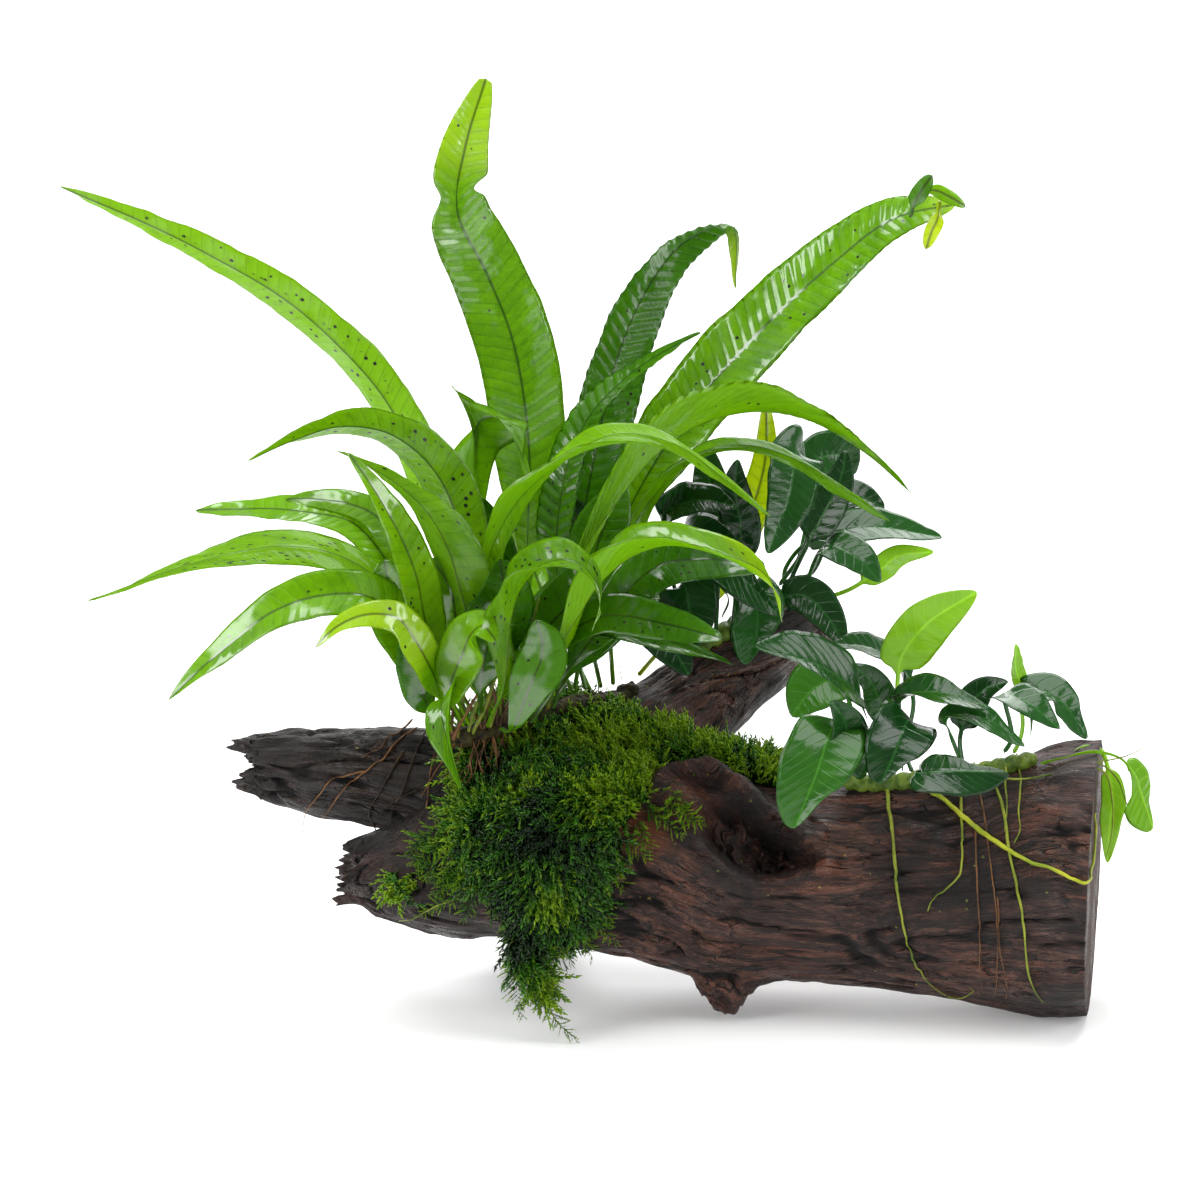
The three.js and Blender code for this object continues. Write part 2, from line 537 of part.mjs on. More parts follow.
/** A strand that hangs free and tapers to its tip. */
function strand({ radius, route }) {
  const path = new THREE.CatmullRomCurve3(vectors(route));
  const place = ({ x, y, z }) => {
    const share = 0.5 - y;
    const tangent = path.getTangentAt(share);
    const side = new THREE.Vector3(1, 0, 0).cross(tangent).normalize();
    const front = new THREE.Vector3().crossVectors(tangent, side);
    const size = radius * (1 - 0.85 * share);
    return path.getPointAt(share).addScaledVector(side, x * size).addScaledVector(front, z * size);
  };
  return solidOf(bend(new THREE.CylinderGeometry(1, 1, 1, 8, 6), place));
}

const inTheWay = [...woodClear, ...grown];
const pillows = MOSS.map(([, corners]) => mossPatch(corners));
MOSS.forEach(([name], i) => {
  add(name, largest(cutClear(pillows[i], inTheWay)), 0x2f5a1c, 0.8);
});
const hanging = cutClear(strand(MOSS_STRAND), [...inTheWay, ...pillows]);
add('moss_hanging_strand', largest(hanging), 0x2f5a1c, 0.8);

// The origin goes under the middle of the whole piece.
const middle = new THREE.Box3().setFromObject(group).getCenter(new THREE.Vector3());
group.position.set(-middle.x, -middle.y, 0);

export default group;
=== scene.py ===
# %% [markdown]
# # Java fern on driftwood
# The piece is a wet aquarium log, sawn at one end and rotten at the other, planted with a java fern, two
# clumps of anubias and a mat of moss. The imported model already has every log, leaf and root where it
# belongs, as plain solids. This lesson reads those solids and grows a finished surface over each one:
# grain and cracks on the wood, ribs and veins on the leaves, thousands of sprigs in the moss.

# %% Load the frame
import math
import random

import bmesh
import bpy
import numpy as np
from mathutils import Matrix, Vector
from mathutils.bvhtree import BVHTree


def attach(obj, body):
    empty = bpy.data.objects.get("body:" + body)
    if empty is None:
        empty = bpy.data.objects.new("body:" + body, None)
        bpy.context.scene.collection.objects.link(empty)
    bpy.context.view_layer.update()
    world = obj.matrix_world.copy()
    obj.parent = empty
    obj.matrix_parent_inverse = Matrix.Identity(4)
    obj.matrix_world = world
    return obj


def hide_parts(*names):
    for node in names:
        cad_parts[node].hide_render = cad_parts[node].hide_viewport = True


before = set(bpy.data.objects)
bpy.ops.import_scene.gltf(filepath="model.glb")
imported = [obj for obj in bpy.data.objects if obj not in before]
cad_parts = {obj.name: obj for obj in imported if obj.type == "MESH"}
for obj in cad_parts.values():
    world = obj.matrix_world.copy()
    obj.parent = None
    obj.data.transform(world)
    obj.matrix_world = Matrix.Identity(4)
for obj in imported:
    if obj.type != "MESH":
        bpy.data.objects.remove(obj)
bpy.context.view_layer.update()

MM = 0.001
scene = bpy.context.scene

# %% [markdown]
# ## Camera, floor and light
# A product photographer would put this piece on a pale sweep of paper and light it from above and from
# both sides with large soft boxes. An 85 mm lens at about 1.35 m, a little above the leaves, keeps the
# perspective calm. Light from behind is worth its place here, because thin leaves glow in it.

# %% Camera
CAMERA_DISTANCE = 1.347
CAMERA_RISE = math.radians(12)
target = Vector((-0.0072, -0.0140, 0.2013))

camera = bpy.data.objects.new("camera", bpy.data.cameras.new("camera"))
camera.data.lens = 85
camera.data.sensor_width = 36
away = Vector((0, -math.cos(CAMERA_RISE), math.sin(CAMERA_RISE)))
camera.location = target + away * CAMERA_DISTANCE
camera.rotation_euler = (-away).to_track_quat("-Z", "Y").to_euler()
scene.collection.objects.link(camera)
scene.camera = camera
print("camera at", [round(v, 3) for v in camera.location])

# %% [markdown]
# ## Shader maths
# A finish is a sum: this noise times that mask. Blender's nodes can say it, but a long chain of them is hard
# to read. Two small classes let Python's own signs stand for the nodes, so that a finish reads as a formula.


# %% Shader expressions
class Value:
    """A socket that Python's operators work on, so that shader maths reads as maths."""

    def __init__(self, graph, socket):
        self.graph = graph
        self.socket = socket

    def maths(self, operation, *others):
        terms = dict(enumerate((self, *others)))
        return self.graph.node("ShaderNodeMath", {"operation": operation}, terms)

    def __add__(self, other):
        return self.maths("ADD", other)

    __radd__ = __add__

    def __mul__(self, other):
        return self.maths("MULTIPLY", other)

    __rmul__ = __mul__

    def __sub__(self, other):
        return self.maths("SUBTRACT", other)

    def __rsub__(self, other):
        return (self * -1.0) + other

    def ramp(self, low, high):
        """0 below low, 1 above high, smooth between."""
        settings = {"interpolation_type": "SMOOTHSTEP"}
        inputs = {"Value": self, "From Min": low, "From Max": high}
        return self.graph.node("ShaderNodeMapRange", settings, inputs)


class Graph:
    """A material's node tree, built one expression at a time."""

    def __init__(self, name):
        self.material = bpy.data.materials.new(name)
        self.material.use_nodes = True
        self.tree = self.material.node_tree
        self.tree.nodes.clear()

    def raw(self, kind, settings=None, inputs=None):
        """A node with its settings made and its sockets set or linked."""
        node = self.tree.nodes.new(kind)
        for name, setting in (settings or {}).items():
            setattr(node, name, setting)
        for name, value in (inputs or {}).items():
            if isinstance(value, Value):
                self.tree.links.new(value.socket, node.inputs[name])
            else:
                node.inputs[name].default_value = value
        return node

    def node(self, kind, settings=None, inputs=None, output=0):
        return Value(self, self.raw(kind, settings, inputs).outputs[output])

    def mix(self, amount, low, high):
        """A colour between two colours."""
        node = self.raw("ShaderNodeMix", {"data_type": "RGBA"})
        for index, value in ((0, amount), (6, low), (7, high)):
            if isinstance(value, Value):
                self.tree.links.new(value.socket, node.inputs[index])
            else:
                node.inputs[index].default_value = (*value, 1) if index else value
        return Value(self, node.outputs[2])

    def attribute(self, name, output):
        return self.node("ShaderNodeAttribute", {"attribute_name": name}, None, output)

    def parts(self, vector):
        node = self.raw("ShaderNodeSeparateXYZ", None, {0: vector})
        return [Value(self, socket) for socket in node.outputs]

    def place(self, x, y, z):
        return self.node("ShaderNodeCombineXYZ", None, {0: x, 1: y, 2: z})

    def noise(self, vector, scale, detail=2.0, roughness=0.5, distortion=0.0):
        inputs = {"Vector": vector, "Scale": scale, "Detail": detail}
        inputs |= {"Roughness": roughness, "Distortion": distortion}
        return self.node("ShaderNodeTexNoise", None, inputs)

    def bump(self, height, strength, distance):
        inputs = {"Height": height, "Strength": strength, "Distance": distance}
        return self.node("ShaderNodeBump", None, inputs)

    def finish(self, shader):
        self.raw("ShaderNodeOutputMaterial", None, {"Surface": shader})
        return self.material

# %% [markdown]
# ## Paper and lamps
# The paper starts to turn up well behind the piece, so that no horizon shows behind it. The lamps are
# wide, so that their reflections on the leaves are broad and soft at the rim.

# %% Sweep of paper
SWEEP_START = 1.1
SWEEP_RADIUS = 1.3


def make_floor():
    """A floor whose far side curves up into a wall, so that no horizon shows."""
    mesh = bpy.data.meshes.new("floor")
    bm = bmesh.new()
    bmesh.ops.create_grid(bm, x_segments=1, y_segments=80, size=3.5)
    for v in bm.verts:
        past = max(0.0, v.co.y - SWEEP_START)
        turned = min(past / SWEEP_RADIUS, math.pi / 2)
        v.co.y = min(v.co.y, SWEEP_START) + SWEEP_RADIUS * math.sin(turned)
        v.co.z = SWEEP_RADIUS * (1 - math.cos(turned)) + past - SWEEP_RADIUS * turned
        v.co.x *= 1.6
    for face in bm.faces:
        face.smooth = True
    bm.to_mesh(mesh)
    bm.free()
    floor = bpy.data.objects.new("floor", mesh)
    scene.collection.objects.link(floor)
    graph = Graph("floor_paper")
    grit = graph.noise(graph.node("ShaderNodeTexCoord", output=3), 40.0)
    paper = graph.mix(grit, (0.90, 0.90, 0.90), (0.92, 0.92, 0.92))
    inputs = {"Base Color": paper, "Roughness": 0.8}
    inputs |= {"Emission Color": (1, 1, 1, 1), "Emission Strength": 0.18}
    sheet = graph.node("ShaderNodeBsdfPrincipled", None, inputs)
    mesh.materials.append(graph.finish(sheet))


make_floor()
print("paper turns up", SWEEP_START, "m behind the piece")


# %% Lights
def soft_box(name, place, size, power, aim):
    light = bpy.data.lights.new(name, "AREA")
    light.shape = "RECTANGLE"
    light.size, light.size_y = size
    light.energy = power
    lamp = bpy.data.objects.new(name, light)
    lamp.location = place
    lamp.rotation_euler = (Vector(aim) - Vector(place)).to_track_quat("-Z", "Y").to_euler()
    scene.collection.objects.link(lamp)


soft_box("top_box", (-0.3, -0.1, 1.9), (1.6, 1.4), 34, (0, 0, 0.1))
soft_box("left_box", (-1.6, -0.9, 1.1), (0.9, 1.4), 24, (0, 0, 0.2))
soft_box("right_box", (1.6, -0.6, 1.0), (0.7, 1.4), 16, (0, 0, 0.15))
soft_box("back_box", (0.4, 1.5, 1.5), (1.8, 1.2), 34, (0, 0, 0.25))
world = bpy.data.worlds.new("studio")
scene.world = world
world.use_nodes = True
world.node_tree.nodes["Background"].inputs["Color"].default_value = (1.0, 1.0, 1.0, 1)
world.node_tree.nodes["Background"].inputs["Strength"].default_value = 0.28
scene.view_settings.view_transform = "Standard"

# %% [markdown]
# ## Reading the plain solids
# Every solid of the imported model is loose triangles. A copy whose doubles are merged can be walked and
# measured. Two tools are needed: a smooth curve through a few stations, and a noise that gives the same
# bumps each time, because a natural surface is mostly noise of the right size in the right direction.


# %% Measuring tools
def merged_copy(node):
    """A bmesh of a CAD node with its doubled corners merged."""
    bm = bmesh.new()
    bm.from_mesh(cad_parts[node].data)
    bmesh.ops.remove_doubles(bm, verts=bm.verts, dist=2e-6)
    bm.verts.ensure_lookup_table()
    return bm


def solid_tree(node):
    """A CAD node as a tree that rays and nearest places can be asked of."""
    bm = merged_copy(node)
    tree = BVHTree.FromBMesh(bm)
    bm.free()
    return tree


def curve_through(points, at):
    """Catmull-Rom curve through rows of numbers, read at fractional row numbers."""
    points = np.asarray(points, float)
    first = 2 * points[:1] - points[1:2]
    last = 2 * points[-1:] - points[-2:-1]
    padded = np.concatenate([first, points, last])
    i = np.clip(np.floor(at).astype(int), 0, len(points) - 2)
    t = (at - i)[..., None]
    a, b, c, d = (padded[i + k] for k in range(4))
    return 0.5 * (2 * b + (c - a) * t + (2 * a - 5 * b + 4 * c - d) * t**2 + (3 * b - a - 3 * c + d) * t**3)


def unit(vectors):
    return vectors / np.maximum(np.linalg.norm(vectors, axis=-1, keepdims=True), 1e-12)


def bumps(points, seed=0):
    """Smooth noise between 0 and 1 at places given in lattice units."""
    cell = np.floor(points).astype(np.int64)
    t = points - cell
    t = t * t * (3 - 2 * t)
    total = np.zeros(points.shape[:-1])
    for corner in range(8):
        offset = np.array([corner & 1, corner >> 1 & 1, corner >> 2])
        x, y, z = np.moveaxis(cell + offset, -1, 0)
        mixed = x * 374761393 + y * 668265263 + z * 2147483647 + seed * 1274126177
        mixed = (mixed ^ (mixed >> 13)) * 1103515245
        value = ((mixed ^ (mixed >> 16)) & 0xFFFF) / 0xFFFF
        total += value * np.prod(np.where(offset, t, 1 - t), axis=-1)
    return total


def smooth_step(value, low, high):
    t = np.clip((value - low) / (high - low), 0, 1)
    return t * t * (3 - 2 * t)


# %% [markdown]
# ## One skin for every long shape
# A log, a stalk, a root and a leaf are all the same kind of surface: a sleeve round a line, closed at
# both ends. A bmesh grid is the sleeve cut open and laid flat, and moving its corners wraps it round.
# Working with all the corners at once in arrays keeps a hundred thousand of them quick. The seam and
# the two end points are merged at the end, so that the skin is closed.


# %% The sleeve
def sleeve(name, around, rows, place, notes=None):
    """A closed skin: place(turn, row) gives corner places, notes(turn, row) its named attributes.

    turn runs from 0 to 1 round the sleeve and row from 0 to 1 along it, both as arrays.
    """
    mesh = bpy.data.meshes.new(name)
    bm = bmesh.new()
    bmesh.ops.create_grid(bm, x_segments=around, y_segments=rows, size=0.5)
    bm.to_mesh(mesh)
    bm.free()
    flat = np.empty(len(mesh.vertices) * 3)
    mesh.vertices.foreach_get("co", flat)
    flat = flat.reshape(-1, 3) + 0.5
    turn, row = flat[:, 0], flat[:, 1]
    mesh.vertices.foreach_set("co", place(turn, row).ravel())
    for key, values in (notes(turn, row) if notes else {}).items():
        kind = "FLOAT" if values.ndim == 1 else "FLOAT_VECTOR"
        layer = mesh.attributes.new(key, kind, "POINT")
        layer.data.foreach_set("value" if values.ndim == 1 else "vector", values.astype(np.float32).ravel())
    close_up(mesh)
    return mesh


def close_up(mesh):
    """Merge the seam and the end points, face everything outwards and shade it smooth."""
    bm = bmesh.new()
    bm.from_mesh(mesh)
    bmesh.ops.remove_doubles(bm, verts=bm.verts, dist=1e-6)
    bmesh.ops.dissolve_degenerate(bm, edges=bm.edges, dist=1e-7)
    bmesh.ops.recalc_face_normals(bm, faces=bm.faces)
    for face in bm.faces:
        face.smooth = True
    bm.to_mesh(mesh)
    bm.free()


def piece(name, mesh, materials, replaces=()):
    """A finished piece that rides with the object."""
    for material in materials:
        mesh.materials.append(material)
    made = bpy.data.objects.new(name, mesh)
    scene.collection.objects.link(made)
    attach(made, "root")
    if replaces:
        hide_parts(*replaces)
    return made


# %% [markdown]
# ## Reading a log
# Aquarium driftwood is the heart of a root or a bough, hardened and blackened by years under water. The
# plain solid has its size and bends, as a tube of a couple of dozen flat sides. Slices across it give a
# centre line. Rays sent in from outside, at every station and angle, give a table of radii. Smoothed,
# that table is the log without its facets. Where two solids meet, one is cut to make room for the other:
# those radii are thrown away and filled in from their neighbours, so that the finished woods run into
# each other as grown wood does, without a gap.


# %% Reading a log
STATIONS = 90
ANGLES = 90
UP = np.array([0.0, 0.0, 1.0])


def slice_centres(node, axis, low, high):
    """Middles of nine slices of a CAD node, cut square to an axis between two shares of its length."""
    bm = merged_copy(node)
    reach = [v.co.dot(axis) for v in bm.verts]
    places = min(reach) + np.ptp(reach) * np.linspace(low, high, 9)
    centres = []
    for place in places:
        cut = bm.copy()
        everything = [*cut.verts, *cut.edges, *cut.faces]
        found = bmesh.ops.bisect_plane(cut, geom=everything, plane_co=axis * place, plane_no=axis)
        rim = [e for e in found["geom_cut"] if isinstance(e, bmesh.types.BMEdge)]
        weights = np.array([e.calc_length() for e in rim])
        middles = np.array([(e.verts[0].co + e.verts[1].co) / 2 for e in rim])
        centres.append((middles * weights[:, None]).sum(axis=0) / weights.sum())
        cut.free()
    bm.free()
    return np.array(centres)


def read_log(node, axis, whole, beyond=(0.0, 0.0), skew=0.0, cut_by=()):
    """Centre line and radii of a log.

    whole is the part of its length that is uncut, beyond how far to carry the line on at each end, skew
    the slope of a sawn far end, cut_by the nodes that it was cut to make room for.
    """
    axis = Vector(axis).normalized()
    forward = np.array(axis)
    front = unit(np.cross(forward, UP))
    up = np.cross(front, forward)
    measured = slice_centres(node, axis, *whole)
    tree = solid_tree(node)
    ends = []
    for centre, sign in ((measured[0], -1), (measured[-1], 1)):
        tip = tree.ray_cast(Vector(centre), axis * sign)[0]
        ends.append((np.array(tip) if tip else centre).dot(forward) + sign * beyond[(sign + 1) // 2])
    at = measured.dot(forward)
    steps = np.linspace(*ends, STATIONS)
    centres = np.stack([np.interp(steps, at, measured[:, k]) for k in range(3)], -1)
    for rows, inner, outer in ((steps < at[0], 1, 0), (steps > at[-1], -2, -1)):
        slope = (measured[outer] - measured[inner]) / (at[outer] - at[inner])
        centres[rows] = measured[outer] + (steps[rows] - at[outer])[:, None] * slope
    log = {"centres": centres, "forward": forward, "front": front, "up": up, "skew": skew}
    log["length"] = steps[-1] - steps[0]
    others = [solid_tree(other) for other in cut_by]
    radii = np.full((STATIONS, ANGLES), np.nan)
    shares = np.linspace(0, 1, STATIONS)
    for i in range(2, STATIONS - 2):
        arms = directions(log, np.full(ANGLES, shares[i]), np.arange(ANGLES) / ANGLES)
        for j, arm in enumerate(arms):
            stretch = np.linalg.norm(arm)
            start = Vector(centres[i] + arm * 0.25)
            hit, _, _, distance = tree.ray_cast(start, Vector(-arm / stretch), 0.25 * stretch)
            if hit is None or any((other.find_nearest(hit)[3]) < 0.9 * MM for other in others):
                continue
            radii[i, j] = 0.25 - distance / stretch
    log["radii"] = smoothed(filled(radii), 3)
    return log


def directions(log, share, turn):
    """Arms across a log, square to it except near a sawn end, where they lie in the sawn face."""
    angle = turn * 2 * math.pi
    arms = np.cos(angle)[:, None] * log["up"] + np.sin(angle)[:, None] * log["front"]
    slope = log["skew"] * smooth_step(share, 0.8, 1.0) * np.sin(angle)
    return arms - slope[:, None] * log["forward"]


def around_mean(table):
    """Mean of the four neighbours of every place of a table that closes on itself sideways."""
    before = np.concatenate([table[:1], table[:-1]])
    after = np.concatenate([table[1:], table[-1:]])
    return (before + after + np.roll(table, 1, 1) + np.roll(table, -1, 1)) / 4


def filled(table):
    """A table with its gaps filled in smoothly from their edges."""
    gaps = np.isnan(table)
    table = np.where(gaps, np.nanmedian(table), table)
    for _ in range(900):
        table = np.where(gaps, around_mean(table), table)
    return table


def smoothed(table, times):
    for _ in range(times):
        table = (table + 2 * around_mean(table)) / 3
    return table


def radius_at(log, share, turn):
    """Radius of a log between the stations and angles of its table."""
    table = log["radii"]
    i = np.clip(share, 0, 1) * (STATIONS - 1)
    j = turn * ANGLES
    i0 = np.clip(np.floor(i).astype(int), 0, STATIONS - 2)
    j0 = np.floor(j).astype(int)
    fi, fj = i - i0, j - j0
    a, b = j0 % ANGLES, (j0 + 1) % ANGLES
    near = table[i0, a] * (1 - fj) + table[i0, b] * fj
    far = table[i0 + 1, a] * (1 - fj) + table[i0 + 1, b] * fj
    return near * (1 - fi) + far * fi


# %% [markdown]
# ## Weathered wood
# Soft wood rots away between harder fibres, so the surface is all ridges and clefts that run along the
# log. Three noises stretched along the grain carve it: ropes a centimetre across, clefts that open here
# and there and fibres of two millimetres. The stub and the limb broke long ago, so their rims are pulled in
# by different lengths at every angle, which leaves splinters. The right end was sawn square to the log
# and a little to the front. A broken branch in the middle has healed over into a burl: a raised lip of
# bark round a hollow in which the fibres fan out from the old break.


# %% Relief of the wood
# The crest of the lip: x in millimetres, degrees round the log from its top, height in millimetres.
BURL_CREST = np.array([
    (16, 46, 4), (23, 32, 7), (34, 24, 10), (44, 22, 13),
    (61, 31, 11), (80, 41, 10), (93, 51, 7), (101, 63, 4),
], float)
BURL_MIDDLE = (62, 48)
BURL_HALF = (52, 37)


def oval(x, y, middle, half):
    return np.hypot((x - middle[0]) / half[0], (y - middle[1]) / half[1])


def crest_distance(x, degrees):
    """Distance below the crest of the lip, negative above it, and the height of the crest there."""
    nearest = np.full(len(x), np.inf)
    signed, height = np.zeros(len(x)), np.zeros(len(x))
    for (x0, y0, h0), (x1, y1, h1) in zip(BURL_CREST[:-1], BURL_CREST[1:]):
        step = np.array([x1 - x0, y1 - y0])
        share = np.clip(((x - x0) * step[0] + (degrees - y0) * step[1]) / step.dot(step), 0, 1)
        away = np.hypot(x - x0 - share * step[0], degrees - y0 - share * step[1])
        side = np.sign(step[0] * (degrees - y0) - step[1] * (x - x0))
        closer = away < nearest
        nearest = np.where(closer, away, nearest)
        signed = np.where(closer, away * side, signed)
        height = np.where(closer, h0 + share * (h1 - h0), height)
    return signed, height


def burl(x, degrees):
    """Height over the plain log, share of the way out from the middle, painted shade and how far inside."""
    wobble = 3.0 * (bumps(np.stack([x / 9, degrees / 9, 0 * x], -1), 71) - 0.5)
    below, crest = crest_distance(x, degrees)
    below = below + wobble
    lip = crest * np.exp(-((np.where(below < 0, below / 8, below / 2.4)) ** 2))
    dome = 8 * np.exp(-(oval(x, degrees, (28, 41), (10, 12)) ** 3))
    knob = 8 * np.exp(-(oval(x, degrees, (41, 50), (8, 8)) ** 3))
    bowl = oval(x, degrees, (70, 52), (33, 21))
    ledge = 4 * np.exp(-(((bowl - 1.05) / 0.12) ** 2)) * smooth_step(degrees, 56, 64)
    inside = smooth_step(below, 1.5, 6.5) * (1 - smooth_step(bowl, 0.72, 1.0))
    height = lip + dome + ledge - 11 * inside + knob
    # Painted shade: dark under the lip and in the bowl, a black shadow at the right of the bowl and a small
    # dark patch by the knob; the knob itself is kept clear of it.
    dark = smooth_step(below, 0.5, 3.0) * (1 - smooth_step(below, 5, 14)) * (1 - smooth_step(bowl, 0.8, 1.1))
    dark = np.maximum(dark, 1 - smooth_step(oval(x, degrees, (90, 62), (13, 8)), 0.4, 1.0))
    dark = np.maximum(dark, 1 - smooth_step(oval(x, degrees, (52, 44), (5, 9)), 0.4, 1.0))
    knob_skin = np.exp(-(oval(x, degrees, (41, 50), (8, 8)) ** 4))
    return height * MM, oval(x, degrees, BURL_MIDDLE, BURL_HALF), dark * (1 - 0.8 * knob_skin), inside


def relief(grain, base, seed, rough):
    """Height of weathered wood, and how deep in a cleft each place is."""
    stretch = np.array([0.11, 1, 1])
    ropes = bumps(grain * stretch / 0.011, seed) - 0.5
    broad = bumps(base / 0.034, seed + 1) - 0.5
    clefts = 1 - np.abs(2 * bumps(grain * stretch / 0.0062, seed + 2) - 1)
    open_here = smooth_step(bumps(base / 0.020, seed + 3), 0.35, 0.62)
    cleft = smooth_step(clefts, 0.84, 1.0) * open_here
    fibres = bumps(grain * stretch / 0.0025, seed + 4) - 0.5
    lumps = bumps(base / 0.008, seed + 5) - 0.5
    height = (4.0 * broad + 3.4 * ropes * rough - 2.8 * cleft + 1.5 * fibres * rough + 1.2 * lumps) * MM
    return height, cleft


# %% [markdown]
# ## From relief to skin
# Each corner of a log's sleeve is cast from the middle of the log to the plain solid and then lifted or
# sunk by the relief. Near a broken end the rim is pushed in and out, and the end face closes the skin.


# %% The skin of a log
def grow_log(
    name, node, log, around, rows, breaks=(0.0, 0.0), sawn=False, burled=False, seed=0, rough=1.0, darker=0.8
):
    """Weathered wood in place of a CAD log. breaks is how deep the splinters of each end go."""
    length = log["length"]
    last = STATIONS - 1
    cap = 16 / rows
    kept = {}

    def place(turn, row):
        angle = turn * 2 * math.pi
        share = np.clip((row - cap) / (1 - 2 * cap), 0, 1)
        far = row > 0.5
        inward = np.clip(np.maximum(1 - row / cap, 1 - (1 - row) / cap), 0, 1)
        rim = np.stack([np.cos(angle), np.sin(angle), far * 5.0], -1)
        splinters = 0.7 * bumps(rim * 0.9, seed) + 0.5 * bumps(rim * 2.9, seed + 1)
        splinters += 0.3 * bumps(rim * 8.0, seed + 2)
        depth = np.where(far, breaks[1], breaks[0]) * np.clip(splinters - 0.25, 0, 1)
        near_end = 1 - smooth_step(np.where(far, 1 - share, share), 0, 0.22)
        share = share + np.where(far, -1, 1) * depth / length * near_end
        centre = curve_through(log["centres"], share * last)
        arms = directions(log, share, turn)
        radius = radius_at(log, share, turn)
        base = centre + arms * radius[:, None]
        drift = np.stack([bumps(base / 0.05, seed + 7), bumps(base / 0.05, seed + 8)], -1) - 0.5
        grain = np.stack([share * length, radius * np.sin(angle), radius * np.cos(angle)], -1)
        grain[:, 1:] += drift * 0.016
        height, cleft = relief(grain, base, seed + 10, rough)
        red = np.zeros(len(turn))
        if burled:
            degrees = np.degrees((angle + math.pi) % (2 * math.pi) - math.pi)
            swelling, out, shade, _ = burl(base[:, 0] / MM, degrees)
            patch = 1 - smooth_step(out, 0.86, 1.06)
            bed_of_burl = 5 * MM * (1 - smooth_step(out, 0.62, 0.78))
            height = height * (1 - 0.7 * patch) + swelling * patch - bed_of_burl
            from_foot = oval(base[:, 0], base[:, 2], (0.053, 0.012), (0.024, 0.020))
            foot = np.exp(-(from_foot**4)) * (arms[:, 2] < 0)
            lumps = (bumps(base / 0.0085, 75) - 0.3) * 7 + (bumps(base / 0.0035, 76) - 0.5) * 4
            height += foot * lumps * MM
            red = 1.2 * np.exp(-(oval(base[:, 0] / MM, degrees, (8, 66), (17, 15)) ** 2))
        ground = smooth_step(base[:, 2], 0.0, 4 * MM)
        skin = base + arms * (height * ground)[:, None]
        end = np.where(far, 1 - 0.5 * breaks[1] / length, 0.5 * breaks[0] / length)
        core = curve_through(log["centres"], end * last)
        across = (skin - core) * (1 - inward)[:, None]
        spikes = bumps(across / 0.0045, seed + 30) + 0.6 * bumps(across / 0.0019, seed + 31) - 0.8
        wedge = np.sin(math.pi * np.clip(inward * 1.3, 0, 0.5))
        push = spikes * np.where(far, breaks[1], breaks[0]) * 0.55 * wedge
        rings = np.hypot(grain[:, 1], grain[:, 2]) * (1 - inward)
        saw = far & (inward > 0) & sawn
        crack = smooth_step(bumps(rim * 5.5, seed + 40), 0.66, 0.74) * smooth_step(1 - inward, 0.12, 0.4)
        push = np.where(saw, -1.8 * MM * crack + 0.25 * MM * bumps(across / 0.002, 9), push)
        end_face = core + across + log["forward"] * (push * np.where(far, 1, -1))[:, None]
        spot = np.where((inward > 0)[:, None], end_face, skin)
        spot[:, 2] = np.maximum(spot[:, 2], 0.0)
        kept["grain"] = np.where(saw[:, None], np.stack([rings, rings, across[:, 1]], -1), grain)
        # Painted shade: this note marks the clefts, the gaps between the splinters and the cracks of the sawn
        # face, and the finish paints them nearly black.
        kept["hollow"] = np.where(saw, crack, np.maximum(cleft, (inward > 0.15) * 0.6 * (spikes < 0.1)))
        kept["red"] = red
        kept["shade"] = smooth_step(-base[:, 0], 0.02, 0.09) * darker
        kept["sawn"] = saw.astype(float)
        return spot

    mesh = sleeve(name, around, rows, place, lambda turn, row: kept)
    piece(name, mesh, [wood], [node])
    return mesh
